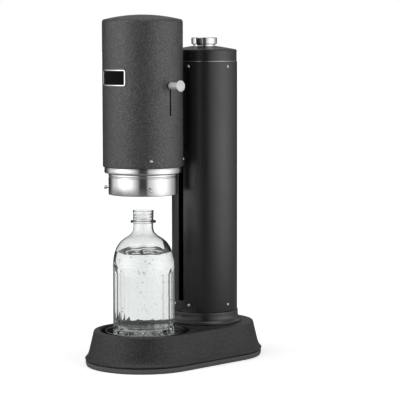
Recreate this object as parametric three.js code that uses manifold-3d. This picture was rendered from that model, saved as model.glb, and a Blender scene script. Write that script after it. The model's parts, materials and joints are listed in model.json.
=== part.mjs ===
// Sparkling water maker: a stadium-shaped base, a gas column at the back and a round head over the bottle.
// Millimetres, +Z up, front towards -Y, lever on the +X side. The origin is on the floor, midway between
// the axis of the head and the axis of the column.
import * as THREE from "three";
import { mergeVertices } from "three/addons/utils/BufferGeometryUtils.js";
import Module from "manifold-3d";

const wasm = await Module();
wasm.setup();

// Gaps and cutting
const clearance = 0.3;
const slideGap = 0.4;
const overrun = 4;
const weld = 0.0001;

// Foot ring, base plate and the screws that hold the plate
const footHeight = 6.2;
const footWidth = 9.4;
const footEdge = 0.8;
const footInset = 0.5;
const plateThickness = 3;
const plateLift = 2.4;
const plateScrewRadius = 3;
const plateScrewHead = 1.4;
const plateShankRadius = 1.6;
const plateShankLength = 9;
const bossRadius = 5;

// Base body
const baseTop = 42;
const baseRim = 5.1;
const baseSkirtFlare = 5.6;
const baseSkirtHeight = 18;
const baseLipFlare = 5.1;
const baseLipHeight = 1.2;
const grooveHeight = 1;
const grooveDepth = 1.6;
const baseWall = 3;
const baseEdge = 1.6;
const recessGap = 6.1;
const recessDepth = 15;
const recessLipWidth = 1.6;
const recessLipDrop = 0.9;
const recessSetback = 2;

// Drip tray and grille
const trayGap = 5.3;
const trayWall = 1.1;
const trayHeight = 14;
const trayRimRound = 0.5;
const grilleGap = 0.6;
const grilleThickness = 2;
const grilleHeight = 5.4;
const grilleSkirtWidth = 2;
const grilleSlotWidth = 3;
const grilleHub = 12;
const grilleBorder = 5;
const grilleSlots = 12;

// Bottle and water
const bottleRadius = 37;
const bottleHeight = 151.7;
const bottleFloor = 12;
const bottleWall = 3.4;
const bottleFootRound = 4;
const bottlePush = 7;
const bottleMouthRadius = 13;
const bottleNeckRadius = 11.8;
const bottleNeckWall = 2.6;
const bottleNeckHeight = 19;
const bottleRingRadius = 15.4;
const bottleRingHeight = 2.6;
const bottleRingDrop = 13.4;
const shoulderHeight = 53;
const flutes = 16;
const fluteDepth = 1.1;
const fluteBottom = 8;
const fluteTop = 83;
const fluteFade = 7;
const waterDepth = 90;
const bottleLift = 8.6;

// Gas cylinder and fittings
const cylinderRadius = 30;
const cylinderHeight = 279;
const cylinderShoulder = 24;
const cylinderNeckRadius = 13.5;
const cylinderNeckHeight = 9;
const cylinderWall = 2.6;
const valveRadius = 9.6;
const valveHeight = 30;
const valveCollarHeight = 5;
const adapterWall = 7.1;
const adapterHeight = 16;
const adapterDrop = 22;
const pipeRadius = 1.8;
const pipeOffset = 4.9;

// Column
const cylinderGap = 2.5;
const ringWidth = 6.2;
const columnWall = 1.5;
const collarHeight = 14.2;
const collarProud = 0.8;
const collarBead = 2.5;
const collarFlare = 5.1;
const collarFlareHeight = 3.4;
const spigotRise = 13.5;
const topRingHeight = 13.8;
const topRingGap = 1;
const slotWidth = 8.4;
const slotSpare = 5;

// Lid and knob
const lidInset = 0.6;
const lidSideHeight = 12.9;
const lidRise = 5.4;
const lidEdge = 1.6;
const lidWall = 2.2;
const lidSpigotDepth = 9;
const lidSpigotWall = 2.4;
const lidBossWall = 3.5;
const knobRadius = 15.8;
const knobHeight = 10.2;
const knobRound = 1.4;
const knobFootInset = 2.2;
const knobFootHeight = 2;
const knobStemRadius = 3.2;
const knobStemLength = 9;

// Shield: tube, cuff, finger knobs
const bottleGap = 1.9;
const shieldTubeWall = 0.8;
const shieldRise = 19.5;
const shieldFloorGap = 5.5;
const cuffWall = 1.7;
const cuffHeight = 25.3;
const cuffShoulder = 4.6;
const cuffLip = 1;
const fingerKnobRadius = 2.4;
const fingerStemRadius = 1.4;
const fingerKnobLength = 6.9;
const fingerHeadLength = 3.2;
const fingerKnobRise = 7.7;

// Guide rods and arm of the shield
const rodRadius = 1.6;
const rodOffset = 9;
const shoeGap = 1;
const shoeThickness = 5.5;
const shoeMargin = 1.5;
const shoeHeight = 22;
const armThickness = 5.4;
const armHeight = 16;

// Bridge between head and column
const bridgeLength = 14.2;
const bridgeHalfWidth = 10;
const bridgeWall = 1.6;
const bridgeRound = 3;
const bridgeFootGap = 2.3;
const bridgeHeadroom = 10;

// Head shell, trim ring and guide ring
const headWall = 1.5;
const headRound = 3.2;
const headDomeRise = 5.8;
const headroom = 3.6;
const headRingInset = 1.8;
const headRingHeight = 7.1;
const headRingEdge = 0.8;
const cuffGap = 0.5;
const guideRingHeight = 13.7;

// Nozzle on the shield's carriage
const carriageThickness = 3;
const sealThickness = 3;
const bellWall = 2.8;
const bellBore = 16.2;
const bellReach = 11.1;
const bellRoof = 2;
const nozzleRadius = 7;
const nozzleHeight = 11;
const nozzleFlangeRadius = 11;
const nozzleFlangeHeight = 2.8;
const nozzleTubeRadius = 1.9;
const nozzleTubeBore = 1;
const nozzleTubeGap = 1.2;

// Lever, its slider, spring and guides
const leverDrop = 38.1;
const leverStroke = 31.5;
const leverShaftRadius = 4.2;
const leverShaftLength = 13.8;
const leverKnobRadius = 6.6;
const leverKnobLength = 3.3;
const leverKnobRound = 1.2;
const bladeThickness = 1.4;
const bladeHeight = 6.4;
const leverSlotGap = 0.35;
const sliderGap = 3.5;
const sliderThickness = 2.4;
const sliderDrop = 17.7;
const sliderRise = 16.3;
const rampHalfWidth = 4;
const rampEnd = 1.5;
const springRadius = 2;
const springWire = 0.45;
const springTurns = 7;
const guideLead = 0.6;
const guideFoot = 10;

// Head frame, valve block, stem and hose
const frameThickness = 3;
const strutLeft = 8;
const strutRight = 1.5;
const strutGap = 0.9;
const strutThickness = 4.4;
const frameArmThickness = 4;
const frameArmInset = 2;
const frameArmHeight = 36;
const blockGap = 4.2;
const blockLength = 14;
const blockHalfWidth = 8;
const blockHeight = 28;
const stemRadius = 1.6;
const stemLength = 11;
const stemTravel = 3;
const stemRise = 3.2;
const hoseCoilRadius = 17;
const hoseRadius = 2.1;
const hoseTurns = 4;

// Badge
const badgeRise = 9.5;
const badgeWidth = 38.8;
const badgeHeight = 19.3;
const badgeRound = 2.4;
const badgeStroke = 1.6;
const badgeFrameProud = 1.2;
const badgePlateProud = 0.6;

// Screws on the head and column
const screwHeadRadius = 1.9;
const screwHeadHeight = 0.9;
const screwShankRadius = 1;
const screwShankLength = 4;
const headScrewRise = 8.6;
const columnScrewDrop = 6.2;
const columnScrewRise = 9;

// Angles, in degrees from the front of the head or column
const headScrewAngles = [-140, -59.4, 59.4, 140];
const columnScrewAngles = [-90, -17, 17, 90];
const fingerAngles = [-59.3, 59.3];
const sliderAngle = 13.5;
const guideAngles = [14.6, 18.2];

// Shares of the sizes that they follow
const lidBendShare = 0.66;
const bottlePushShares = [0.78, 0.25];
const headDomeShares = [0.72, 0.42];
const shoulderBendShares = [0.9, 0.63];
const cuffShoulderShare = 0.7;
const pipeShares = { outer: 0.85, inner: 0.6, block: 0.7 };
const badgeInnerRoundShare = 0.6;
const springSetbackShare = 0.25;

// Faces round each turned piece
const wideSides = 28;
const midSides = 24;
const smallSides = 12;
const screwSides = 8;
const holeSides = 6;

// Radii, from the bottle and the gas cylinder outwards
const shieldTubeBore = bottleRadius + bottleGap;
const shieldTubeRadius = shieldTubeBore + shieldTubeWall;
const cuffRadius = shieldTubeRadius + cuffWall;
const sliderInner = shieldTubeRadius + sliderGap;
const sliderOuter = sliderInner + sliderThickness;
const headInner = sliderOuter + 3 * clearance;
const headRadius = headInner + headWall;
const headRingRadius = headRadius - headRingInset;
const strutFront = shieldTubeRadius + strutGap;
const strutBack = strutFront + strutThickness;
const trayRadius = cuffRadius + trayGap + trayWall;
const recessRadius = trayRadius + recessGap;
const baseTopRadius = recessRadius + recessLipWidth + baseRim;
const baseSkirtRadius = baseTopRadius + baseSkirtFlare;
const baseLipRadius = baseSkirtRadius + baseLipFlare;
const footRadius = baseLipRadius - footInset;
const ringBore = cylinderRadius + cylinderGap;
const columnInner = ringBore + ringWidth + clearance;
const columnRadius = columnInner + columnWall;
const lidRadius = columnRadius - lidInset;
const lidSpigotRadius = ringBore - clearance;
const axisGap = headRadius + bridgeLength + columnRadius;
const shoeBack = cylinderRadius + shoeGap;
const shoeFront = shoeBack + shoeThickness;
const rodSetback = (shoeBack + shoeFront) / 2;
const adapterRadius = valveRadius + adapterWall;
const blockOuter = sliderInner - blockGap;
const blockInner = blockOuter - blockLength;

// Heights of the base, the bottle and the shield
const baseBottom = footHeight + clearance;
const plateTop = plateLift + plateThickness;
const recessFloor = baseTop - recessDepth;
const trayBottom = recessFloor + clearance;
const trayTop = trayBottom + trayHeight;
const grilleBottom = trayBottom + trayWall + clearance;
const grilleTop = grilleBottom + grilleHeight;
const bottleBottom = grilleTop + clearance;
const bottleTop = bottleBottom + bottleHeight;
const waterTop = bottleBottom + bottleFloor + waterDepth;
const cuffBottom = bottleTop + shieldRise;
const cuffTop = cuffBottom + cuffHeight;
const shieldTravel = cuffBottom - grilleTop - shieldFloorGap;

// Heights of the head. The seal stops just above the mouth of a lifted bottle when the shield is down.
const headRingBottom = cuffTop + cuffGap;
const headRingTop = headRingBottom + headRingHeight;
const headBottom = headRingTop + clearance;
const guideRingTop = headBottom + guideRingHeight;
const sealBottom = bottleTop + bottleLift + clearance + shieldTravel;
const sealTop = sealBottom + sealThickness;
const bellTop = sealTop + clearance + bellRoof;
const carriageBottom = bellTop + clearance;
const carriageTop = carriageBottom + carriageThickness;
const flangeBottom = carriageTop + clearance;
const blockBottom = flangeBottom + clearance;
const frameBottom = blockBottom + blockHeight + clearance;
const frameTop = frameBottom + frameThickness;
const stemHeight = blockBottom + stemRise;
const rampTop = stemHeight + leverStroke + rampEnd;
const headSideTop = rampTop + headroom;
const leverHeight = stemHeight - leverDrop;
const badgeCentre = leverHeight + badgeRise;

// Heights of the column, its gas cylinder, the shield's arm and the bridge
const collarBottom = baseTop + clearance;
const collarTop = collarBottom + collarHeight;
const spigotTop = collarTop + spigotRise;
const cylinderBottom = plateTop + clearance;
const cylinderTop = cylinderBottom + cylinderHeight + cylinderShoulder + cylinderNeckHeight;
const valveBottom = cylinderTop + clearance;
const valveTop = valveBottom + valveHeight;
const adapterBottom = valveTop - adapterDrop;
const adapterTop = adapterBottom + adapterHeight;
const topRingBottom = valveTop + topRingGap;
const topRingTop = topRingBottom + topRingHeight;
const columnBottom = collarTop + clearance;
const columnTop = topRingTop + clearance;
const lidBottom = columnTop + clearance;
const lidSideTop = lidBottom + lidSideHeight;
const lidTop = lidSideTop + lidRise;
const shoeBottom = spigotTop + slideGap + shieldTravel;
const armBottom = shoeBottom + (shoeHeight - armHeight) / 2;
const armTop = armBottom + armHeight;
const slotBottom = spigotTop + clearance;
const slotTop = armTop + slotSpare;
const bridgeBottom = slotTop + bridgeFootGap;
const bridgeTop = adapterTop + bridgeHeadroom;

// A geometry's triangles as a solid that can be cut and joined
function solidFrom(geometry) {
  const bare = geometry.index ? geometry.toNonIndexed() : geometry.clone();
  bare.deleteAttribute("normal");
  bare.deleteAttribute("uv");
  const merged = mergeVertices(bare, weld);
  const corners = merged.index.array;
  const kept = [];
  for (let i = 0; i < corners.length; i += 3) {
    const [a, b, c] = [corners[i], corners[i + 1], corners[i + 2]];
    if (a !== b && b !== c && c !== a) kept.push(a, b, c);
  }
  const mesh = new wasm.Mesh({
    numProp: 3,
    vertProperties: new Float32Array(merged.attributes.position.array),
    triVerts: new Uint32Array(kept),
  });
  return new wasm.Manifold(mesh);
}

// A solid's triangles as a geometry
function geometryFrom(solid) {
  const mesh = solid.getMesh();
  const geometry = new THREE.BufferGeometry();
  geometry.setAttribute("position", new THREE.BufferAttribute(new Float32Array(mesh.vertProperties), 3));
  geometry.setIndex(new THREE.BufferAttribute(new Uint32Array(mesh.triVerts), 1));
  geometry.computeVertexNormals();
  return geometry;
}

function cut(geometry, ...tools) {
  return geometryFrom(tools.reduce((solid, tool) => solid.subtract(solidFrom(tool)), solidFrom(geometry)));
}

function join(geometry, ...others) {
  return geometryFrom(others.reduce((solid, other) => solid.add(solidFrom(other)), solidFrom(geometry)));
}

function common(geometry, other) {
  return geometryFrom(solidFrom(geometry).intersect(solidFrom(other)));
}

// A profile of [radius, height] points turned about Z. It runs counterclockwise and closes on itself
// or on the axis.
function revolve(profile, sides) {
  const points = profile.map(([radius, height]) => new THREE.Vector2(radius, height));
  if (profile[0][0] > 0) points.push(points[0].clone());
  return new THREE.LatheGeometry(points, sides).rotateX(Math.PI / 2);
}

function tube(inner, outer, bottom, top, sides) {
  return revolve([[inner, bottom], [outer, bottom], [outer, top], [inner, top]], sides);
}

function disc(radius, bottom, top, sides) {
  return revolve([[0, bottom], [radius, bottom], [radius, top], [0, top]], sides);
}

function block(left, right, front, back, bottom, top) {
  const box = new THREE.BoxGeometry(right - left, back - front, top - bottom);
  return box.translate((left + right) / 2, (front + back) / 2, (bottom + top) / 2);
}

// Points of a quarter round in a profile, from one angle to another
function roundPoints(centreRadius, centreHeight, radius, from, to, steps) {
  return Array.from({ length: steps + 1 }, (_, i) => {
    const angle = THREE.MathUtils.degToRad(from + ((to - from) * i) / steps);
    return [centreRadius + radius * Math.cos(angle), centreHeight + radius * Math.sin(angle)];
  });
}

// Points of a flat curve through control points, without its first one
function curvePoints(controls, steps) {
  const places = controls.map(([radius, height]) => new THREE.Vector2(radius, height));
  const Curve = places.length === 3 ? THREE.QuadraticBezierCurve : THREE.CubicBezierCurve;
  return new Curve(...places).getPoints(steps).slice(1).map(({ x, y }) => [x, y]);
}

// A revolved solid parted at its middle and drawn out along Y, so its plan becomes a stadium
function drawOut(geometry, length) {
  const places = geometry.attributes.position;
  for (let i = 0; i < places.count; i++) {
    const y = places.getY(i);
    if (Math.abs(y) > weld) places.setY(i, y + (Math.sign(y) * length) / 2);
  }
  return geometry;
}

function stadium(profile, sides) {
  const half = Math.PI / sides;
  return drawOut(revolve(profile, sides).rotateZ(half), axisGap);
}

// A rectangle with round corners, as an outline
function roundedRectangle(width, height, radius, steps) {
  const shape = new THREE.Shape();
  const x = width / 2 - radius;
  const y = height / 2 - radius;
  shape.absarc(x, y, radius, 0, Math.PI / 2);
  shape.absarc(-x, y, radius, Math.PI / 2, Math.PI);
  shape.absarc(-x, -y, radius, Math.PI, 1.5 * Math.PI);
  shape.absarc(x, -y, radius, 1.5 * Math.PI, 2 * Math.PI);
  shape.closePath();
  return { shape, steps };
}

// A piece of a ring between two radii, standing from one height to another, from one angle to
// another as counted from +X towards +Y
function sector(inner, outer, from, to, bottom, top, steps) {
  const shape = new THREE.Shape();
  const start = THREE.MathUtils.degToRad(from);
  const end = THREE.MathUtils.degToRad(to);
  shape.absarc(0, 0, outer, start, end, false);
  shape.absarc(0, 0, inner, end, start, true);
  shape.closePath();
  const options = { depth: top - bottom, bevelEnabled: false, curveSegments: steps };
  return new THREE.ExtrudeGeometry(shape, options).translate(0, 0, bottom);
}

// A round section drawn along a curve
function piping(curve, radius, steps, sides) {
  const section = new THREE.Shape();
  section.absarc(0, 0, radius, 0, 2 * Math.PI);
  const options = { steps, extrudePath: curve, bevelEnabled: false, curveSegments: sides };
  return new THREE.ExtrudeGeometry(section, options);
}

// A helix about Z
class Helix extends THREE.Curve {
  constructor(radius, bottom, top, turns) {
    super();
    Object.assign(this, { radius, bottom, top, turns });
  }

  getPoint(share) {
    const angle = 2 * Math.PI * this.turns * share;
    const height = this.bottom + (this.top - this.bottom) * share;
    return new THREE.Vector3(this.radius * Math.cos(angle), this.radius * Math.sin(angle), height);
  }
}

// Turns a geometry that points along +X so that it points at an angle from the front, -Y
function aim(geometry, degrees) {
  return geometry.rotateZ(THREE.MathUtils.degToRad(degrees - 90));
}

// Materials
const finishes = {
  texturedBlack: { color: 0x2b2b2c, roughness: 0.75, metalness: 0.2 },
  satinBlack: { color: 0x222223, roughness: 0.45, metalness: 0.3 },
  mattePlastic: { color: 0x161617, roughness: 0.7, metalness: 0 },
  polishedSteel: { color: 0xc9c9c8, roughness: 0.18, metalness: 1 },
  brushedSteel: { color: 0xaeb0b1, roughness: 0.35, metalness: 1 },
  brass: { color: 0xb08d4a, roughness: 0.35, metalness: 1 },
  greyRubber: { color: 0x6e6f70, roughness: 0.8, metalness: 0 },
  silicone: { color: 0xd9dad8, roughness: 0.6, metalness: 0 },
  glass: { color: 0xe6eef0, roughness: 0.05, metalness: 0, transparent: true, opacity: 0.35 },
  water: { color: 0xd8e6ea, roughness: 0.02, metalness: 0, transparent: true, opacity: 0.3 },
};

function piece(group, name, finish, geometry) {
  const mesh = new THREE.Mesh(geometry, new THREE.MeshStandardMaterial(finishes[finish]));
  mesh.name = name;
  group.add(mesh);
  return mesh;
}

const machine = new THREE.Group();
const head = new THREE.Group();
const column = new THREE.Group();
head.position.set(0, -axisGap / 2, 0);
column.position.set(0, axisGap / 2, 0);
machine.add(head, column);

// Foot ring: the band that the machine stands on
function footRing() {
  const inner = footRadius - footWidth;
  const low = footRadius - footEdge;
  const above = footHeight + overrun;
  const outside = stadium([
    [0, 0], [low, 0], [footRadius, footEdge], [footRadius, footHeight], [0, footHeight],
  ], wideSides);
  return cut(outside, stadium([[0, -overrun], [inner, -overrun], [inner, above], [0, above]], midSides));
}

// Places of the four screws under the base
function plateScrewPlaces() {
  const across = footRadius - footWidth - 3 * bossRadius;
  return [[-1, -1], [1, -1], [1, 1], [-1, 1]].map(([x, y]) => [x * across, (y * axisGap) / 2]);
}

function basePlate() {
  const radius = footRadius - footWidth - clearance;
  const plate = stadium([[0, plateLift], [radius, plateLift], [radius, plateTop], [0, plateTop]], midSides);
  const [under, above] = [plateLift - overrun, plateTop + overrun];
  const holes = plateScrewPlaces().map(([x, y]) =>
    disc(plateShankRadius + clearance, under, above, holeSides).translate(x, y, 0));
  return cut(plate, ...holes);
}

function plateScrew() {
  const headBottom = plateLift - clearance - plateScrewHead;
  return revolve([
    [0, headBottom], [plateScrewRadius - footEdge, headBottom], [plateScrewRadius, headBottom + footEdge],
    [plateScrewRadius, plateLift - clearance], [plateShankRadius, plateLift - clearance],
    [plateShankRadius, plateLift + plateShankLength], [0, plateLift + plateShankLength],
  ], screwSides);
}

// Base body: a hollow casting with a round recess for the tray and a well under the column
function baseBody() {
  const grooveTop = baseBottom + grooveHeight;
  const lipTop = grooveTop + baseLipHeight;
  const lean = baseSkirtFlare / (baseTop - baseSkirtHeight);
  const flareFoot = [baseSkirtRadius + lean * (baseSkirtHeight - lipTop), lipTop + baseLipHeight];
  const outside = stadium([
    [0, baseBottom],
    [baseLipRadius - grooveDepth, baseBottom],
    [baseLipRadius - grooveDepth, grooveTop],
    [baseLipRadius, grooveTop],
    [baseLipRadius, lipTop],
    ...curvePoints([[baseLipRadius, lipTop], flareFoot, [baseSkirtRadius, baseSkirtHeight]], 3),
    [baseTopRadius + lean * baseEdge, baseTop - baseEdge],
    [baseTopRadius - baseEdge / 3, baseTop - baseEdge / 3],
    [baseTopRadius - baseEdge, baseTop],
    [0, baseTop],
  ], wideSides);
  const ceiling = baseTop - baseWall;
  const hollow = stadium([
    [0, baseBottom - overrun],
    [footRadius - footWidth + baseWall, baseBottom - overrun],
    [baseSkirtRadius - baseWall, baseSkirtHeight],
    [baseTopRadius - baseWall, ceiling],
    [0, ceiling],
  ], midSides);
  const frontY = recessSetback - axisGap / 2;
  const backY = axisGap / 2;
  const recessBase = recessFloor - baseWall;
  const bowl = disc(recessRadius + baseWall, recessBase, baseTop, midSides).translate(0, frontY, 0);
  const wallBottom = plateTop + clearance;
  const wellWall = disc(ringBore + baseWall, wallBottom, baseTop, midSides).translate(0, backY, 0);
  const bosses = plateScrewPlaces().map(([x, y]) =>
    disc(bossRadius, wallBottom, baseTop - baseEdge, screwSides).translate(x, y, 0));
  const lipOuter = recessRadius + recessLipWidth;
  const recess = revolve([
    [0, recessFloor], [recessRadius, recessFloor], [recessRadius, baseTop - recessLipDrop],
    [lipOuter, baseTop - recessLipDrop], [lipOuter, baseTop + overrun], [0, baseTop + overrun],
  ], wideSides).translate(0, frontY, 0);
  const well = disc(ringBore, 0, baseTop + overrun, midSides).translate(0, backY, 0);
  const screwHoles = plateScrewPlaces().map(([x, y]) => {
    const depth = plateLift + plateShankLength + clearance;
    return disc(plateShankRadius + clearance, 0, depth, holeSides).translate(x, y, 0);
  });
  const ribs = common(join(bowl, wellWall, ...bosses), outside);
  return cut(join(cut(outside, hollow), ribs), recess, well, ...screwHoles);
}

piece(machine, "foot_ring", "greyRubber", footRing());
piece(machine, "base_body", "texturedBlack", baseBody());
piece(machine, "base_plate", "mattePlastic", basePlate());
plateScrewPlaces().forEach(([x, y], i) => {
  piece(machine, "base_screw_" + (i + 1), "brushedSteel", plateScrew()).position.set(x, y, 0);
});

// Drip tray: a thin steel dish, and the grille that the bottle stands on
function dripTray() {
  const inner = trayRadius - trayWall;
  return revolve([
    [0, trayBottom], [trayRadius - trayWall, trayBottom], [trayRadius, trayBottom + trayWall],
    [trayRadius, trayTop - trayRimRound], [trayRadius - trayRimRound, trayTop],
    [inner, trayTop - trayRimRound], [inner, trayBottom + trayWall], [0, trayBottom + trayWall],
  ], midSides);
}

function trayGrille() {
  const radius = trayRadius - trayWall - grilleGap;
  const under = grilleTop - grilleThickness;
  const plate = revolve([
    [0, under], [radius - grilleSkirtWidth, under], [radius - grilleSkirtWidth, grilleBottom],
    [radius, grilleBottom], [radius, grilleTop], [0, grilleTop],
  ], midSides);
  const half = grilleSlotWidth / 2;
  const slots = Array.from({ length: grilleSlots }, (_, i) =>
    block(grilleHub, radius - grilleBorder, -half, half, under - overrun, grilleTop + overrun)
      .rotateZ((2 * Math.PI * i) / grilleSlots));
  return cut(plate, ...slots);
}

piece(head, "drip_tray", "polishedSteel", dripTray()).position.set(0, recessSetback, 0);
piece(head, "tray_grille", "mattePlastic", trayGrille()).position.set(0, recessSetback, 0);

// Bottle: a revolved body whose side is pressed into flutes
const neckBottom = bottleHeight - bottleNeckHeight;
const shoulderBottom = neckBottom - shoulderHeight;
const bottleSides = 2 * flutes;

// Points up the shoulder, from the body into the neck, set in from the outside by a wall
function shoulderPoints(side, neck, steps) {
  const [low, high] = shoulderBendShares;
  return curvePoints([
    [side, shoulderBottom], [side, shoulderBottom + shoulderHeight * low],
    [neck, shoulderBottom + shoulderHeight * high], [neck, neckBottom],
  ], steps);
}

function bottleOutline() {
  const ringTop = bottleHeight - bottleRingDrop + bottleRingHeight / 2;
  const ringBottom = ringTop - bottleRingHeight;
  const round = bottleFootRound;
  return [
    ...roundPoints(bottleRadius - round, round, round, -90, 0, 2),
    [bottleRadius, fluteBottom], [bottleRadius, fluteBottom + fluteFade],
    [bottleRadius, fluteTop - fluteFade], [bottleRadius, fluteTop],
    ...shoulderPoints(bottleRadius, bottleNeckRadius, 6).filter(([, height]) => height > fluteTop),
    [bottleNeckRadius, ringBottom], [bottleRingRadius, ringBottom + bottleRingHeight / 3],
    [bottleRingRadius, ringTop - bottleRingHeight / 3], [bottleNeckRadius, ringTop],
    [bottleMouthRadius, ringTop + bottleRingHeight / 2],
    [bottleMouthRadius, bottleHeight - bottleNeckWall / 3],
    [bottleMouthRadius - bottleNeckWall / 3, bottleHeight],
  ];
}

// Inside of the bottle, from the mouth down to the middle of the floor, set in by a gap
function bottleInside(gap) {
  const bore = bottleMouthRadius - bottleNeckWall - gap;
  const inner = bottleRadius - bottleWall - gap;
  const floor = bottleFloor + gap;
  const round = bottleFootRound;
  return [
    [bore, bottleHeight], ...shoulderPoints(inner, bore, 3).reverse(), [inner, shoulderBottom],
    ...roundPoints(inner - round, floor + round, round, 0, -90, 2), [0, floor],
  ];
}

function bottle() {
  const [high, low] = bottlePushShares;
  const push = [
    [0, bottlePush], [bottleRadius / 2, bottlePush * high],
    [bottleRadius - 2 * bottleFootRound, bottlePush * low],
  ];
  const geometry = revolve([...push, ...bottleOutline(), ...bottleInside(0)], bottleSides);
  const places = geometry.attributes.position;
  for (let i = 0; i < places.count; i++) {
    const [x, y, z] = [places.getX(i), places.getY(i), places.getZ(i)];
    const radius = Math.hypot(x, y);
    if (radius < bottleRadius - weld || z < fluteBottom + weld || z > fluteTop - weld) continue;
    const turn = Math.round((Math.atan2(y, x) / (2 * Math.PI)) * bottleSides);
    const pressed = radius - (turn % 2 === 0 ? 0 : fluteDepth);
    places.setXY(i, (x / radius) * pressed, (y / radius) * pressed);
  }
  return geometry;
}

function water() {
  const level = bottleFloor + waterDepth;
  const side = bottleInside(clearance).reverse();
  const above = side.findIndex(([, height]) => height > level);
  const [[lowRadius, low], [highRadius, high]] = side.slice(above - 1, above + 1);
  const surface = lowRadius + ((highRadius - lowRadius) * (level - low)) / (high - low);
  return revolve([...side.slice(0, above), [surface, level], [0, level]], bottleSides);
}

piece(head, "bottle", "glass", bottle()).position.set(0, 0, bottleBottom);
piece(head, "water", "water", water()).position.set(0, 0, bottleBottom);

// Column collar: flares onto the base outside, and stands up inside the shell as a spigot
function columnCollar() {
  const foot = columnRadius + collarFlare;
  const bead = columnRadius + collarBead;
  const top = columnRadius + collarProud;
  return revolve([
    [ringBore, collarBottom], [foot, collarBottom], [foot, collarBottom + collarFlareHeight / 2],
    [bead, collarBottom + collarFlareHeight],
    [top, collarTop - collarFlareHeight], [top, collarTop],
    [columnInner - clearance, collarTop], [columnInner - clearance, spigotTop], [ringBore, spigotTop],
  ], wideSides);
}

// A hole through a wall for a screw that points at an angle from the front
function screwHole(radius, height, degrees) {
  const start = radius - screwShankLength;
  const hole = disc(screwShankRadius + clearance, start, radius + overrun, holeSides);
  return aim(hole.rotateY(Math.PI / 2).translate(0, 0, height), degrees);
}

// A low round-headed screw, pointing along +X from the wall that it goes through
function wallScrew(radius) {
  const seat = radius + clearance;
  const edge = screwHeadRadius / 3;
  const screw = revolve([
    [0, seat - screwShankLength], [screwShankRadius, seat - screwShankLength], [screwShankRadius, seat],
    [screwHeadRadius, seat],
    [screwHeadRadius - edge, seat + screwHeadHeight], [0, seat + screwHeadHeight],
  ], screwSides);
  return screw.rotateY(Math.PI / 2);
}

const lowScrewHeight = collarTop + columnScrewRise;
const highScrewHeight = columnTop - columnScrewDrop;

function columnScrewHoles() {
  return columnScrewAngles.flatMap((angle) => [
    screwHole(columnRadius, lowScrewHeight, angle), screwHole(columnRadius, highScrewHeight, angle),
  ]);
}

// Column shell: a tube with a long slot down its front for the arm, and a window behind the bridge
function columnShell() {
  const shell = tube(columnInner, columnRadius, columnBottom, columnTop, wideSides);
  const half = slotWidth / 2;
  const front = -columnRadius - overrun;
  const slot = block(-half, half, front, -rodSetback, slotBottom, slotTop);
  const reach = bridgeHalfWidth - bridgeWall;
  const [sill, lintel] = [bridgeBottom + bridgeWall, bridgeTop - bridgeWall];
  const window = block(-reach, reach, front, -rodSetback, sill, lintel);
  return cut(shell, slot, window, ...columnScrewHoles());
}

function topRing() {
  const ring = tube(ringBore, columnInner - clearance, topRingBottom, topRingTop, wideSides);
  return cut(ring, ...columnScrewAngles.map((angle) => screwHole(columnRadius, highScrewHeight, angle)));
}

piece(column, "column_collar", "mattePlastic",
  cut(columnCollar(), ...columnScrewAngles.map((angle) => screwHole(columnRadius, lowScrewHeight, angle))));
piece(column, "column_shell", "satinBlack", columnShell());
piece(column, "column_top_ring", "mattePlastic", topRing());
const levels = { low: lowScrewHeight, high: highScrewHeight };
Object.entries(levels).forEach(([level, height]) => {
  columnScrewAngles.forEach((angle, i) => {
    const name = "column_screw_" + level + "_" + (i + 1);
    const screw = piece(column, name, "polishedSteel", wallScrew(columnRadius));
    screw.position.set(0, 0, height);
    screw.rotation.set(0, 0, THREE.MathUtils.degToRad(angle - 90));
  });
});

// Lid: a shallow cap with a spigot below it, and the steel knob that lifts it
// Points over the lid: a tight edge, then a shallow slope up to the flat part under the knob
function lidDome() {
  const brow = [lidRadius - lidEdge, lidSideTop];
  const bend = [(lidRadius + knobRadius) / 2, lidSideTop + lidRise * lidBendShare];
  return [
    [lidRadius, lidSideTop - lidEdge], [lidRadius - lidEdge / 3, lidSideTop - lidEdge / 3], brow,
    ...curvePoints([brow, bend, [knobRadius, lidTop]], 2),
  ];
}

function columnLid() {
  const under = lidSideTop - lidWall;
  const bore = knobStemRadius + clearance;
  const bossBottom = under - lidWall;
  const boss = bore + lidBossWall;
  return revolve([
    [bore, bossBottom], [boss, bossBottom], [boss, under],
    [lidSpigotRadius - lidSpigotWall, under], [lidSpigotRadius - lidSpigotWall, lidBottom - lidSpigotDepth],
    [lidSpigotRadius, lidBottom - lidSpigotDepth], [lidSpigotRadius, lidBottom],
    [lidRadius, lidBottom],
    ...lidDome(),
    [bore, lidTop],
  ], wideSides);
}

function lidKnob() {
  const bottom = lidTop + clearance;
  const top = bottom + knobHeight;
  const round = knobRound;
  return revolve([
    [0, bottom - knobStemLength], [knobStemRadius, bottom - knobStemLength], [knobStemRadius, bottom],
    [knobRadius - knobFootInset, bottom], [knobRadius - knobFootInset, bottom + knobFootHeight],
    [knobRadius, bottom + knobFootHeight + knobRound / 2],
    ...roundPoints(knobRadius - round, top - round, round, 0, 90, 2),
    [0, top],
  ], midSides);
}

piece(column, "column_lid", "texturedBlack", columnLid());
piece(column, "lid_knob", "polishedSteel", lidKnob());

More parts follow.
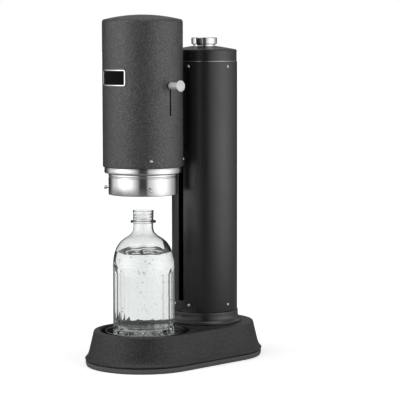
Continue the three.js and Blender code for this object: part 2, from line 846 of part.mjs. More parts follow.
// Gas cylinder, its valve and the adapter that takes the gas to the pipe
function gasCylinder() {
  const wall = cylinderWall;
  const foot = (cylinderRadius - cylinderNeckRadius) / 3;
  const bore = cylinderNeckRadius - 2 * wall;
  const shoulder = (side, neck, rise) => [0, 45, 90].map((degrees) => {
    const angle = THREE.MathUtils.degToRad(degrees);
    const radius = neck + (side - neck) * Math.cos(angle);
    return [radius, cylinderBottom + cylinderHeight + rise * Math.sin(angle)];
  });
  return revolve([
    [0, cylinderBottom], [cylinderRadius - foot, cylinderBottom], [cylinderRadius, cylinderBottom + foot],
    ...shoulder(cylinderRadius, cylinderNeckRadius, cylinderShoulder),
    [cylinderNeckRadius, cylinderTop], [bore, cylinderTop],
    ...shoulder(cylinderRadius - wall, bore, cylinderShoulder - wall).reverse(),
    [cylinderRadius - wall, cylinderBottom + foot], [cylinderRadius - foot, cylinderBottom + wall],
    [0, cylinderBottom + wall],
  ], midSides);
}

function cylinderValve() {
  const collarRadius = cylinderNeckRadius;
  return revolve([
    [0, valveBottom], [collarRadius, valveBottom], [collarRadius, valveBottom + valveCollarHeight],
    [valveRadius, valveBottom + valveCollarHeight], [valveRadius, valveTop], [0, valveTop],
  ], smallSides);
}

function gasAdapter() {
  const ring = tube(valveRadius + clearance, adapterRadius, adapterBottom, adapterTop, smallSides);
  const front = -adapterRadius - overrun;
  const flat = block(-adapterRadius, adapterRadius, front, clearance - adapterRadius,
    adapterBottom - overrun, adapterTop + overrun);
  return cut(ring, flat);
}

piece(column, "gas_cylinder", "brushedSteel", gasCylinder());
piece(column, "cylinder_valve", "brass", cylinderValve());
piece(column, "gas_adapter", "brass", gasAdapter());

// Guide rods between the collar's spigot and the top ring
["left", "right"].forEach((side, i) => {
  const rod = disc(rodRadius, spigotTop + clearance, topRingBottom - clearance, smallSides / 2);
  const x = (2 * i - 1) * rodOffset;
  piece(column, "guide_rod_" + side, "polishedSteel", rod).position.set(x, -rodSetback, 0);
});

// Bridge: a hollow neck from the back of the head to the front of the column
function bridgeHousing() {
  const bridgeHeight = bridgeTop - bridgeBottom;
  const outer = roundedRectangle(2 * bridgeHalfWidth, bridgeHeight, bridgeRound, 3);
  const innerWidth = 2 * (bridgeHalfWidth - bridgeWall);
  const inner = roundedRectangle(innerWidth, bridgeHeight - 2 * bridgeWall, bridgeRound - bridgeWall, 2);
  const middle = bridgeBottom + bridgeHeight / 2;
  const along = ({ shape, steps }, depth) =>
    new THREE.ExtrudeGeometry(shape, { depth, bevelEnabled: false, curveSegments: steps })
      .translate(0, 0, -depth / 2).rotateX(Math.PI / 2).translate(0, 0, middle);
  const headSpace = disc(headRadius + clearance, bridgeBottom - overrun, bridgeTop + overrun, wideSides);
  const columnSpace = disc(columnRadius + clearance, bridgeBottom - overrun, bridgeTop + overrun,
    wideSides);
  return cut(along(outer, axisGap), along(inner, axisGap + overrun),
    headSpace.translate(0, -axisGap / 2, 0), columnSpace.translate(0, axisGap / 2, 0));
}

piece(machine, "bridge_housing", "satinBlack", bridgeHousing());

// Head shell: a deep cup, open below, with the lever's slot, the arm's notch and the bridge's window
const leverSlotBottom = leverHeight - leverStroke - bladeHeight / 2 - clearance;
const leverSlotTop = leverHeight + bladeHeight / 2 + clearance;
const notchHalfWidth = armThickness / 2 + 3 * clearance;
const notchTop = armTop + 5 * clearance;

function headProfile() {
  const inset = headRadius - headRound;
  const rise = (share) => headSideTop + headRound + headDomeRise * (1 - share * share);
  const outside = headDomeShares.map((share) => [inset * share, rise(share)]);
  const inside = [1, ...headDomeShares].map((share) => [inset * share, rise(share) - headWall]).reverse();
  return [
    [headInner, headBottom], [headRadius, headBottom],
    ...roundPoints(inset, headSideTop, headRound, 0, 80, 2), ...outside, [0, rise(0)],
    [0, rise(0) - headWall], ...inside, [headInner, headSideTop],
  ];
}

function headScrewHoles() {
  return headScrewAngles.map((angle) => screwHole(headRadius, headBottom + headScrewRise, angle));
}

function headShell() {
  const shell = revolve(headProfile(), wideSides);
  const half = bladeThickness / 2 + leverSlotGap;
  const slot = block(strutFront, headRadius + overrun, -half, half, leverSlotBottom, leverSlotTop);
  const back = headRadius + overrun;
  const notch = block(-notchHalfWidth, notchHalfWidth, strutFront, back, headBottom - overrun, notchTop);
  const reach = bridgeHalfWidth - bridgeWall;
  const window = block(-reach, reach, strutFront, back, bridgeBottom + bridgeWall, bridgeTop - bridgeWall);
  return cut(shell, slot, notch, window, ...headScrewHoles());
}

// Trim ring below the shell and the guide ring inside it, both parted at the back for the arm
function backNotch(bottom, top) {
  const front = headRadius / 2;
  const back = headRadius + overrun;
  return block(-notchHalfWidth, notchHalfWidth, front, back, bottom - overrun, top + overrun);
}

function headRing() {
  const bore = shieldTubeRadius + 2 * clearance;
  const edge = headRingEdge;
  const ring = revolve([
    [bore, headRingBottom], [headRingRadius - edge, headRingBottom],
    [headRingRadius, headRingBottom + edge], [headRingRadius, headRingTop], [bore, headRingTop],
  ], wideSides);
  return cut(ring, backNotch(headRingBottom, headRingTop));
}

function guideRing() {
  const bore = shieldTubeRadius + slideGap;
  const ring = tube(bore, headInner - clearance, headBottom, guideRingTop, wideSides);
  return cut(ring, backNotch(headBottom, guideRingTop), ...headScrewHoles());
}

piece(head, "head_shell", "texturedBlack", headShell());
piece(head, "head_trim_ring", "polishedSteel", headRing());
piece(head, "guide_ring", "mattePlastic", guideRing());
headScrewAngles.forEach((angle, i) => {
  const screw = piece(head, "head_screw_" + (i + 1), "polishedSteel", wallScrew(headRadius));
  screw.position.set(0, 0, headBottom + headScrewRise);
  screw.rotation.set(0, 0, THREE.MathUtils.degToRad(angle - 90));
});

// Badge on the front of the head: a bright frame round a bare dark plate
function badgeSkin(proud, outline) {
  const skin = tube(headRadius + clearance, headRadius + proud, badgeCentre - badgeHeight,
    badgeCentre + badgeHeight, 2 * wideSides);
  const front = new THREE.ExtrudeGeometry(outline.shape,
    { depth: headRadius + overrun, bevelEnabled: false, curveSegments: outline.steps });
  return common(skin, front.rotateX(Math.PI / 2).translate(0, 0, badgeCentre));
}

function badgeFrame() {
  const outer = badgeSkin(badgeFrameProud, roundedRectangle(badgeWidth, badgeHeight, badgeRound, 3));
  const opening = roundedRectangle(badgeWidth - 2 * badgeStroke, badgeHeight - 2 * badgeStroke,
    badgeRound * badgeInnerRoundShare, 2);
  const hole = new THREE.ExtrudeGeometry(opening.shape,
    { depth: headRadius + overrun, bevelEnabled: false, curveSegments: opening.steps });
  return cut(outer, hole.rotateX(Math.PI / 2).translate(0, 0, badgeCentre));
}

function badgePlate() {
  const margin = 2 * (badgeStroke + clearance);
  return badgeSkin(badgePlateProud,
    roundedRectangle(badgeWidth - margin, badgeHeight - margin, badgeRound * badgeInnerRoundShare, 2));
}

piece(head, "badge_frame", "polishedSteel", badgeFrame());
piece(head, "badge_plate", "mattePlastic", badgePlate());

// Shield: a thin steel tube inside a thicker cuff with two finger knobs
function shieldTube() {
  return tube(shieldTubeBore, shieldTubeRadius, cuffBottom + cuffLip + clearance, carriageTop, wideSides);
}

function shieldCuff() {
  const inner = shieldTubeRadius + clearance;
  const shoulder = cuffTop - cuffShoulder;
  const rim = (cuffRadius + inner) / 2;
  return revolve([
    [shieldTubeBore, cuffBottom], [cuffRadius - cuffLip / 2, cuffBottom],
    [cuffRadius, cuffBottom + cuffLip / 2], [cuffRadius, shoulder],
    [(cuffRadius + rim) / 2, shoulder + cuffShoulder * cuffShoulderShare], [rim, cuffTop],
    [inner, cuffTop], [inner, cuffBottom + cuffLip], [shieldTubeBore, cuffBottom + cuffLip],
  ], wideSides);
}

function fingerKnob() {
  const start = cuffRadius + clearance;
  const neck = start + fingerKnobLength - fingerHeadLength;
  const end = start + fingerKnobLength;
  const edge = fingerHeadLength / 4;
  const knob = revolve([
    [0, start], [fingerStemRadius, start], [fingerStemRadius, neck], [fingerKnobRadius, neck + edge],
    [fingerKnobRadius, end - edge], [fingerKnobRadius - edge, end], [0, end],
  ], smallSides / 2);
  return knob.rotateY(Math.PI / 2);
}

piece(head, "shield_tube", "polishedSteel", shieldTube());
piece(head, "shield_cuff", "polishedSteel", shieldCuff());
fingerAngles.forEach((angle, i) => {
  const knob = piece(head, "finger_knob_" + ["left", "right"][i], "polishedSteel", fingerKnob());
  knob.position.set(0, 0, cuffBottom + fingerKnobRise);
  knob.rotation.set(0, 0, THREE.MathUtils.degToRad(angle - 90));
});

// Carriage across the top of the shield, with the nozzle and its bell over the bottle's mouth
function carriage() {
  return tube(nozzleRadius + clearance, shieldTubeBore - clearance, carriageBottom, carriageTop, wideSides);
}

function nozzleBell() {
  const bottom = sealBottom - bellReach;
  const bore = nozzleTubeRadius + clearance;
  const outer = bellBore + bellWall;
  return revolve([
    [bore, sealTop + clearance], [bellBore, sealTop + clearance], [bellBore, bottom],
    [outer, bottom], [outer, bellTop], [bore, bellTop],
  ], smallSides);
}

function nozzleSeal() {
  return tube(nozzleTubeRadius + clearance, bellBore - clearance, sealBottom, sealTop, smallSides);
}

function nozzleBody() {
  const bottom = carriageBottom;
  return revolve([
    [0, bottom], [nozzleRadius, bottom], [nozzleRadius, flangeBottom], [nozzleFlangeRadius, flangeBottom],
    [nozzleFlangeRadius, flangeBottom + nozzleFlangeHeight],
    [nozzleRadius, flangeBottom + nozzleFlangeHeight],
    [nozzleRadius, flangeBottom + nozzleHeight], [0, flangeBottom + nozzleHeight],
  ], smallSides);
}

function nozzleTube() {
  const bottom = waterTop + bottleLift + shieldTravel + nozzleTubeGap;
  return tube(nozzleTubeBore, nozzleTubeRadius, bottom, carriageBottom - clearance, smallSides / 2);
}

piece(head, "shield_carriage", "mattePlastic", carriage());
piece(head, "nozzle_bell", "mattePlastic", nozzleBell());
piece(head, "nozzle_seal", "silicone", nozzleSeal());
piece(head, "nozzle_body", "brass", nozzleBody());
piece(head, "nozzle_tube", "polishedSteel", nozzleTube());

// Arm from the back of the shield through the column's slot to a shoe on the guide rods
function shieldArm() {
  const columnY = axisGap;
  const half = armThickness / 2;
  const shoeHalf = rodOffset + rodRadius + shoeMargin;
  const front = shieldTubeRadius + clearance;
  const plate = block(-half, half, front, columnY - rodSetback, armBottom, armTop);
  const shoe = block(-shoeHalf, shoeHalf, columnY - shoeFront, columnY - shoeBack,
    shoeBottom, shoeBottom + shoeHeight);
  const above = shoeBottom + shoeHeight + overrun;
  const bores = [-rodOffset, rodOffset].map((x) =>
    disc(rodRadius + clearance, shoeBottom - overrun, above, smallSides / 2)
      .translate(x, columnY - rodSetback, 0));
  return cut(join(plate, shoe), ...bores);
}

piece(head, "shield_arm", "brushedSteel", shieldArm());

// Lever: a shaft and end knob outside the head, on a slider inside it whose ramp works the valve
const sliderBottom = leverHeight - sliderDrop;
const sliderTop = leverHeight + sliderRise;

function leverSlider() {
  const plate = sector(sliderInner, sliderOuter, -sliderAngle, sliderAngle, sliderBottom, sliderTop, 4);
  const side = new THREE.Shape([
    new THREE.Vector2(sliderInner, sliderTop - overrun),
    new THREE.Vector2(sliderOuter, sliderTop - overrun),
    new THREE.Vector2(sliderOuter, rampTop), new THREE.Vector2(sliderInner - stemTravel, rampTop),
    new THREE.Vector2(sliderInner - stemTravel, stemHeight + leverStroke),
    new THREE.Vector2(sliderInner, stemHeight),
  ]);
  const ramp = new THREE.ExtrudeGeometry(side, { depth: 2 * rampHalfWidth, bevelEnabled: false })
    .rotateX(Math.PI / 2).translate(0, rampHalfWidth, 0);
  const half = bladeThickness / 2;
  const blade = block(sliderInner, headRadius + clearance, -half, half,
    leverHeight - bladeHeight / 2, leverHeight + bladeHeight / 2);
  return join(plate, ramp, blade);
}

function leverShaft() {
  const start = headRadius + 2 * clearance;
  return disc(leverShaftRadius, start, start + leverShaftLength, smallSides).rotateY(Math.PI / 2);
}

function leverKnob() {
  const start = headRadius + 3 * clearance + leverShaftLength;
  const end = start + leverKnobLength;
  const round = leverKnobRound;
  const knob = revolve([
    [0, start], [leverShaftRadius, start], [leverKnobRadius, start + leverKnobLength / 2],
    ...roundPoints(leverKnobRadius - round, end - round, round, 0, 90, 2), [0, end],
  ], smallSides);
  return knob.rotateY(Math.PI / 2);
}

piece(head, "lever_slider", "brushedSteel", leverSlider());
piece(head, "lever_shaft", "polishedSteel", leverShaft()).position.set(0, 0, leverHeight);
piece(head, "lever_knob", "polishedSteel", leverKnob()).position.set(0, 0, leverHeight);

// Return spring below the slider, and the two guides beside it
const springMiddle = sliderInner + sliderThickness * springSetbackShare;

function leverSpring() {
  const bottom = guideRingTop + clearance + springWire;
  const top = sliderBottom - clearance - springWire;
  return piping(new Helix(springRadius, bottom, top, springTurns), springWire, 6 * springTurns, 2);
}

function leverGuide(from, to) {
  const inner = sliderInner - guideLead;
  const outer = headInner - clearance;
  return sector(inner, outer, from, to, guideRingTop + guideFoot, frameBottom - clearance, 2);
}

piece(head, "lever_spring", "brushedSteel", leverSpring()).position.set(springMiddle, 0, 0);
piece(head, "lever_guide_rear", "mattePlastic", leverGuide(guideAngles[0], guideAngles[1]));
piece(head, "lever_guide_front", "mattePlastic", leverGuide(-guideAngles[1], -guideAngles[0]));

// Head frame: a plate under the dome, a strut down the back and an arm through the bridge
function headFrame() {
  const radius = headInner - clearance;
  const plate = disc(radius, frameBottom, frameTop, wideSides);
  const half = rampHalfWidth + 2 * clearance;
  const notch = block(blockOuter + clearance, headRadius, -half, half,
    frameBottom - overrun, frameTop + overrun);
  const strut = block(-strutLeft, strutRight, strutFront, strutBack, bridgeBottom + bridgeWall, frameTop);
  const tieTop = topRingBottom - clearance;
  const tie = block(-frameArmInset - frameArmThickness, -frameArmInset, strutFront, axisGap - shoeBack,
    tieTop - frameArmHeight, tieTop);
  return cut(join(plate, common(strut, disc(radius, 0, frameTop + overrun, wideSides)), tie), notch);
}

// Valve block under the frame, and the stem that the ramp pushes into it
function valveBlock() {
  const top = frameBottom - clearance;
  const body = block(blockInner, blockOuter, -blockHalfWidth, blockHalfWidth, blockBottom, top);
  const bottom = sliderInner - stemLength - stemTravel - 2 * clearance;
  const bore = disc(stemRadius + clearance, bottom, blockOuter + overrun, smallSides / 2)
    .rotateY(Math.PI / 2).translate(0, 0, stemHeight);
  return cut(body, bore);
}

function valveStem() {
  const tip = sliderInner - clearance;
  return disc(stemRadius, tip - stemLength, tip, smallSides / 2).rotateY(Math.PI / 2);
}

piece(head, "head_frame", "brushedSteel", headFrame());
piece(head, "valve_block", "brass", valveBlock());
piece(head, "valve_stem", "polishedSteel", valveStem()).position.set(0, 0, stemHeight);

// Gas pipe: from the adapter through the bridge, up the back of the head and round to the valve block
function gasPipe() {
  const start = axisGap - adapterRadius;
  const low = (adapterBottom + adapterTop) / 2;
  const rear = (strutFront + strutBack) / 2 + clearance;
  const high = blockBottom + nozzleHeight + hoseRadius;
  const blockMiddle = (blockInner + blockOuter) / 2;
  const lane = high + hoseRadius;
  const places = [
    [pipeOffset, start, low],
    [pipeOffset, (start + rear) / 2, low],
    [pipeOffset, rear + 4 * pipeRadius, low],
    [pipeOffset, rear, low + 4 * pipeRadius],
    [pipeOffset, rear, carriageTop],
    [2 * pipeOffset, rear * pipeShares.outer, lane],
    [blockMiddle * pipeShares.block, rear * pipeShares.inner, lane],
    [blockMiddle, blockHalfWidth + 4 * pipeRadius, high],
    [blockMiddle, blockHalfWidth + clearance, high],
  ];
  const points = places.map((place) => new THREE.Vector3(...place));
  return piping(new THREE.CatmullRomCurve3(points, false, "centripetal"), pipeRadius, 24, 3);
}

// Coiled hose between the carriage and the frame: it draws out as the shield comes down
function gasHose() {
  const bottom = carriageTop + clearance + hoseRadius;
  const top = frameBottom - clearance - hoseRadius;
  return piping(new Helix(hoseCoilRadius, bottom, top, hoseTurns), hoseRadius, 10 * hoseTurns, 3);
}

piece(head, "gas_pipe", "brass", gasPipe());
piece(head, "gas_hose", "silicone", gasHose());

export default machine;
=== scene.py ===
import json
import math
import random

import bmesh
import bpy
from mathutils import Matrix, Vector, noise


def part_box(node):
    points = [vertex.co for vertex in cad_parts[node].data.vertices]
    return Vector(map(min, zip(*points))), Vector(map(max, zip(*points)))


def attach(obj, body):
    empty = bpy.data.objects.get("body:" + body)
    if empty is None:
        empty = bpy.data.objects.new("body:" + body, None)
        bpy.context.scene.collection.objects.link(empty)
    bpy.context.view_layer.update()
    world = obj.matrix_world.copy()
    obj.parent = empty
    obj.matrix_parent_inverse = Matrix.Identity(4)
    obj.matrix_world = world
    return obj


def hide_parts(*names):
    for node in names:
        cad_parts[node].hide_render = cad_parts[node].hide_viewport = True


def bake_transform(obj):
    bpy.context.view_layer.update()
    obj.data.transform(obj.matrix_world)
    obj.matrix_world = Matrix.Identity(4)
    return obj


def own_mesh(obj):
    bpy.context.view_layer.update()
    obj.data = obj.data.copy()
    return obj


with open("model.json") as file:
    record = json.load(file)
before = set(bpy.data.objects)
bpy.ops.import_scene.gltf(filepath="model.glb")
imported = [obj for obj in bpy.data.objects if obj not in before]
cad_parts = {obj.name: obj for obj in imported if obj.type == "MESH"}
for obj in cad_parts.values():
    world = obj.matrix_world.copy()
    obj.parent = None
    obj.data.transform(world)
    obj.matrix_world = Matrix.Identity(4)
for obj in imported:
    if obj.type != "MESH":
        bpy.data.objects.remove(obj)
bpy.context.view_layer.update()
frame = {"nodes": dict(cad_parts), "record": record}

MM = 0.001
FINE_SIDES = 160
SMALL_SIDES = 48
TINY_SIDES = 24
SHARP = math.radians(38)
POLE_RADIUS = 1e-6
CORNER_SHARE = 0.49
OVERRUN = 5
scene = bpy.context.scene


# Places taken from the frame
def box_mm(node):
    low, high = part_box(node)
    return low / MM, high / MM


def bottom(node):
    return box_mm(node)[0].z


def top(node):
    return box_mm(node)[1].z


def radius_of(node):
    low, high = box_mm(node)
    return (high.x - low.x) / 2


def middle(node):
    return (bottom(node) + top(node)) / 2


def centre(node):
    low, high = box_mm(node)
    return (low.x + high.x) / 2, (low.y + high.y) / 2


HEAD = centre("head_shell")
COLUMN = centre("column_shell")
TRAY = centre("drip_tray")
HALF_GAP = (COLUMN[1] - HEAD[1]) / 2


# Shaping
def rounded(corners, steps=4):
    """Points of an outline whose corners may carry a third number, the radius that rounds them."""
    points = []
    for i, corner in enumerate(corners):
        here = Vector(corner[:2])
        round_radius = corner[2] if len(corner) > 2 else 0
        if not round_radius:
            points.append(tuple(here))
            continue
        before = Vector(corners[i - 1][:2]) - here
        after = Vector(corners[(i + 1) % len(corners)][:2]) - here
        half = before.angle(after) / 2
        longest = CORNER_SHARE * min(before.length, after.length)
        reach = min(round_radius / math.tan(half), longest)
        start, end = here + before.normalized() * reach, here + after.normalized() * reach
        for step in range(steps + 1):
            share = step / steps
            rest = 1 - share
            points.append(tuple(start * rest ** 2 + 2 * here * share * rest + end * share ** 2))
    return points


def bezier(controls, steps):
    """Points of a Bezier curve through its first and last control, without the first."""
    points = []
    for step in range(1, steps + 1):
        level = [Vector(control) for control in controls]
        while len(level) > 1:
            level = [a.lerp(b, step / steps) for a, b in zip(level, level[1:])]
        points.append(tuple(level[0]))
    return points


def circle(radius, height, sides):
    if radius < POLE_RADIUS:
        return [Vector((0, 0, height))]
    turns = [2 * math.pi * i / sides for i in range(sides)]
    return [Vector((radius * math.cos(turn), radius * math.sin(turn), height)) for turn in turns]


def revolved(outline, sides):
    """Rings of an outline of radii and heights about the upright axis."""
    return [circle(radius, height, sides) for radius, height in outline]


def stadium(radius, height, sides):
    points = []
    for start, middle in ((0, HALF_GAP), (math.pi, -HALF_GAP)):
        for i in range(sides // 2 + 1):
            turn = start + 2 * math.pi * i / sides
            points.append(Vector((radius * math.cos(turn), radius * math.sin(turn) + middle, height)))
    return points


def shade(work):
    """Smooth faces, with sharp edges where the surface turns a corner."""
    for face in work.faces:
        face.smooth = True
    for edge in work.edges:
        edge.smooth = not edge.is_manifold or edge.calc_face_angle(0) < SHARP


def skin(name, rings, loop=False, capped=False, place=None):
    """An object whose surface joins rings of points, in millimetres. A ring of one point is a pole."""
    work = bmesh.new()
    rows = [[work.verts.new(point * MM) for point in ring] for ring in rings]
    pairs = list(zip(rows, rows[1:])) + ([(rows[-1], rows[0])] if loop else [])
    for low, high in pairs:
        count = max(len(low), len(high))
        for i in range(count):
            j = (i + 1) % count
            corners = [low[i % len(low)], low[j % len(low)], high[j % len(high)], high[i % len(high)]]
            corners = list(dict.fromkeys(corners))
            if len(corners) > 2:
                work.faces.new(corners)
    if capped:
        work.faces.new(rows[0])
        work.faces.new(rows[-1])
    bmesh.ops.recalc_face_normals(work, faces=work.faces)
    shade(work)
    return place_mesh(name, work, place)


def place_mesh(name, work, place):
    mesh = bpy.data.meshes.new(name)
    work.to_mesh(mesh)
    work.free()
    piece = bpy.data.objects.new(name, mesh)
    scene.collection.objects.link(piece)
    if place is not None:
        piece.matrix_world = place
    return piece


def at(x, y, z=0.0):
    return Matrix.Translation((x * MM, y * MM, z * MM))


def facing(degrees):
    """Turns a piece that was made along +Z so that it points level, at an angle from the front."""
    turn = math.radians(degrees)
    outward = Vector((math.sin(turn), -math.cos(turn), 0))
    return outward.to_track_quat("Z", "Y").to_matrix().to_4x4()


def on_wall(axis, reach, height, degrees):
    """Place of a piece made along +Z that stands out level from a round wall."""
    outward = facing(degrees)
    return at(*axis, height) @ Matrix.Translation(outward.col[2].to_3d() * reach * MM) @ outward


def turned(name, corners, axis=(0, 0), loop=False, sides=FINE_SIDES, place=None):
    """A piece turned on an upright axis from an outline of radii and heights."""
    return skin(name, revolved(rounded(corners), sides), loop, place=place or at(*axis))


def extruded(name, outline, depth, place):
    """A flat outline drawn out along +Z."""
    rings = [[Vector((x, y, height)) for x, y in outline] for height in (0, depth)]
    return skin(name, rings, capped=True, place=place)


def bar(left, right, front, back, low, high):
    """A plain box to cut with."""
    outline = [(left, front), (right, front), (right, back), (left, back)]
    return extruded("cutter", outline, high - low, at(0, 0, low))


def obround(half_width, low, high):
    """Outline of an upright slot with round ends, about x = 0."""
    points = []
    steps = 10
    for middle, start in ((high - half_width, 0), (low + half_width, math.pi)):
        for step in range(steps + 1):
            turn = start + math.pi * step / steps
            points.append((half_width * math.cos(turn), middle + half_width * math.sin(turn)))
    return points


def carve(piece, cutters):
    """The piece with its cutters taken out of it."""
    for cutter in cutters:
        cut = piece.modifiers.new("cut", "BOOLEAN")
        cut.object = cutter
        cut.operation = "DIFFERENCE"
        cut.solver = "EXACT"
    graph = bpy.context.evaluated_depsgraph_get()
    carved = bpy.data.meshes.new_from_object(piece.evaluated_get(graph))
    piece.modifiers.clear()
    piece.data = carved
    for cutter in cutters:
        bpy.data.objects.remove(cutter)
    work = bmesh.new()
    work.from_mesh(carved)
    shade(work)
    work.to_mesh(carved)
    work.free()
    return piece


# Node helpers
def add(tree, kind, inputs=None, **settings):
    node = tree.nodes.new("ShaderNode" + kind)
    for key, value in settings.items():
        setattr(node, key, value)
    for key, value in (inputs or {}).items():
        if isinstance(value, bpy.types.NodeSocket):
            tree.links.new(value, node.inputs[key])
        else:
            node.inputs[key].default_value = value
    return node


def maths(tree, operation, first, second=0.0):
    return add(tree, "Math", {0: first, 1: second}, operation=operation).outputs[0]


def remap(tree, value, low, high, to_low, to_high):
    inputs = {"Value": value, "From Min": low, "From Max": high, "To Min": to_low, "To Max": to_high}
    return add(tree, "MapRange", inputs).outputs["Result"]


def blend_colour(tree, share, first, second):
    mix = add(tree, "Mix", {"Factor": share}, data_type="RGBA")
    for key, colour in ((6, first), (7, second)):
        if isinstance(colour, bpy.types.NodeSocket):
            tree.links.new(colour, mix.inputs[key])
        else:
            mix.inputs[key].default_value = (*colour, 1)
    return mix.outputs[2]


def new_group(name, inputs, outputs):
    tree = bpy.data.node_groups.new(name, "ShaderNodeTree")
    for label, kind, value in inputs:
        socket = tree.interface.new_socket(label, in_out="INPUT", socket_type="NodeSocket" + kind)
        if value is not None:
            socket.default_value = value
    for label in outputs:
        tree.interface.new_socket(label, in_out="OUTPUT", socket_type="NodeSocketFloat")
    return tree, tree.nodes.new("NodeGroupInput").outputs, tree.nodes.new("NodeGroupOutput").inputs


def use_group(tree, group, inputs):
    node = tree.nodes.new("ShaderNodeGroup")
    node.node_tree = group
    for key, value in inputs.items():
        if isinstance(value, bpy.types.NodeSocket):
            tree.links.new(value, node.inputs[key])
        else:
            node.inputs[key].default_value = value
    return node.outputs


CELLS_PER_GRAIN = 1.7
PIT_SHARE = 0.4
FLECK_RANGE = (0.42, 0.68)
PATCH_RANGE = (0.3, 0.7)
# Edge mask: lighter edges, partly wear and partly a painted highlight
EDGE_RANGE = (0.515, 0.57)
EDGE_WEAR_AND_HIGHLIGHT_SCALE = 260.0


def sand_grain_group():
    """Grains of a sand-textured coat: their height, and flecks where they catch the light."""
    tree, given, made = new_group("sand_grain", [("Place", "Vector", None), ("Grain", "Float", 0.001)],
                                  ["Height", "Fleck"])
    place, scale = given["Place"], maths(tree, "DIVIDE", 1.0, given["Grain"])
    coarse = add(tree, "TexNoise", {"Vector": place, "Scale": scale, "Detail": 2.0, "Roughness": 0.6})
    finer = maths(tree, "MULTIPLY", scale, CELLS_PER_GRAIN)
    cells = add(tree, "TexVoronoi", {"Vector": place, "Scale": finer})
    pits = maths(tree, "MULTIPLY", cells.outputs["Distance"], PIT_SHARE)
    tree.links.new(maths(tree, "SUBTRACT", coarse.outputs["Fac"], pits), made["Height"])
    tree.links.new(remap(tree, coarse.outputs["Fac"], *FLECK_RANGE, 0.0, 1.0), made["Fleck"])
    return tree


def handled_group():
    """Soft uneven patches, as wiping and handling leave them."""
    tree, given, made = new_group("handled", [("Place", "Vector", None), ("Size", "Float", 0.03)],
                                  ["Patch"])
    place, scale = given["Place"], maths(tree, "DIVIDE", 1.0, given["Size"])
    cloud = add(tree, "TexNoise", {"Vector": place, "Scale": scale, "Detail": 4.0, "Roughness": 0.55})
    tree.links.new(remap(tree, cloud.outputs["Fac"], *PATCH_RANGE, 0.0, 1.0), made["Patch"])
    return tree


def worn_edge_group():
    """Where edges stand out: rubbed bare by wear, and lightened as a painted highlight."""
    tree, given, made = new_group("edge_wear_and_highlight", [("Place", "Vector", None)], ["Mask"])
    geometry = add(tree, "NewGeometry")
    edge = remap(tree, geometry.outputs["Pointiness"], *EDGE_RANGE, 0.0, 1.0)
    breakup = add(tree, "TexNoise", {"Vector": given["Place"], "Scale": EDGE_WEAR_AND_HIGHLIGHT_SCALE, "Detail": 3.0})
    tree.links.new(maths(tree, "MULTIPLY", edge, breakup.outputs["Fac"]), made["Mask"])
    return tree


def turned_lines_group():
    """Fine lines round a turned piece, which follow its radius and height only."""
    tree, given, made = new_group("turned_lines", [("Place", "Vector", None), ("Pitch", "Float", 0.0004)],
                                  ["Height"])
    parts = add(tree, "SeparateXYZ", {0: given["Place"]}).outputs
    flat = add(tree, "CombineXYZ", {0: parts[0], 1: parts[1]}).outputs[0]
    reach = add(tree, "VectorMath", {0: flat}, operation="LENGTH").outputs["Value"]
    across = add(tree, "CombineXYZ", {0: reach, 2: parts[2]}).outputs[0]
    scale = maths(tree, "DIVIDE", 1.0, given["Pitch"])
    lines = add(tree, "TexNoise", {"Vector": across, "Scale": scale, "Detail": 3.0, "Roughness": 0.7})
    tree.links.new(lines.outputs["Fac"], made["Height"])
    return tree


sand_grain = sand_grain_group()
handled = handled_group()
edge_wear_and_highlight = worn_edge_group()
turned_lines = turned_lines_group()


# Finishes
COAT_PATCH = 0.035
STEEL_PATCH = 0.02
DULL_SHARE = 0.93
UNEVEN_PEAK = 0.6
PASSING_SHARE = 0.97


def new_finish(name, settings):
    """A material with one Principled shader, and the coordinates of the piece that wears it."""
    material = bpy.data.materials.new(name)
    material.use_nodes = True
    tree = material.node_tree
    shader = tree.nodes["Principled BSDF"]
    for key, value in settings.items():
        shader.inputs[key].default_value = value
    place = add(tree, "TexCoord").outputs["Object"]
    return material, tree, shader, place


def bump(tree, shader, height, distance):
    node = add(tree, "Bump", {"Height": height, "Distance": distance, "Strength": 1.0})
    tree.links.new(node.outputs["Normal"], shader.inputs["Normal"])


def coated(name, dark, light, edge, grain, depth, smooth, rough, shine, mottle=0.0, ior=1.5):
    """A coating with a sandy grain, faint patches and lighter edges, which are partly wear and partly a
    painted highlight.

    Its greys run from dark to light with the grain, whose size and depth are in metres. Its roughness
    runs from smooth to rough with the patches. Mottle dulls the pits between the grains.
    """
    material, tree, shader, place = new_finish(name, {"IOR": ior})
    grains = use_group(tree, sand_grain, {"Place": place, "Grain": grain})
    patch = use_group(tree, handled, {"Place": place, "Size": COAT_PATCH})["Patch"]
    mask = use_group(tree, edge_wear_and_highlight, {"Place": place})["Mask"]
    colour = blend_colour(tree, grains["Fleck"], (dark,) * 3, (light,) * 3)
    # The edge grey is partly wear and partly a painted highlight on the edges
    colour = blend_colour(tree, mask, colour, (edge,) * 3)
    tree.links.new(colour, shader.inputs["Base Color"])
    tree.links.new(remap(tree, patch, 0.0, 1.0, smooth, rough), shader.inputs["Roughness"])
    sheen = remap(tree, grains["Fleck"], 0.0, 1.0, shine * (1 - mottle), shine)
    tree.links.new(sheen, shader.inputs["Specular IOR Level"])
    bump(tree, shader, grains["Height"], depth)
    return material


def steel(name, colour, smooth, rough, pitch, depth):
    """Turned metal: fine lines of a pitch and depth in metres, and patches a little duller."""
    material, tree, shader, place = new_finish(name, {"Metallic": 1.0})
    lines = use_group(tree, turned_lines, {"Place": place, "Pitch": pitch})["Height"]
    patch = use_group(tree, handled, {"Place": place, "Size": STEEL_PATCH})["Patch"]
    duller = tuple(DULL_SHARE * part for part in colour)
    tree.links.new(blend_colour(tree, patch, colour, duller), shader.inputs["Base Color"])
    uneven = maths(tree, "MULTIPLY", patch, lines)
    tree.links.new(remap(tree, uneven, 0.0, UNEVEN_PEAK, smooth, rough), shader.inputs["Roughness"])
    bump(tree, shader, lines, depth)
    return material


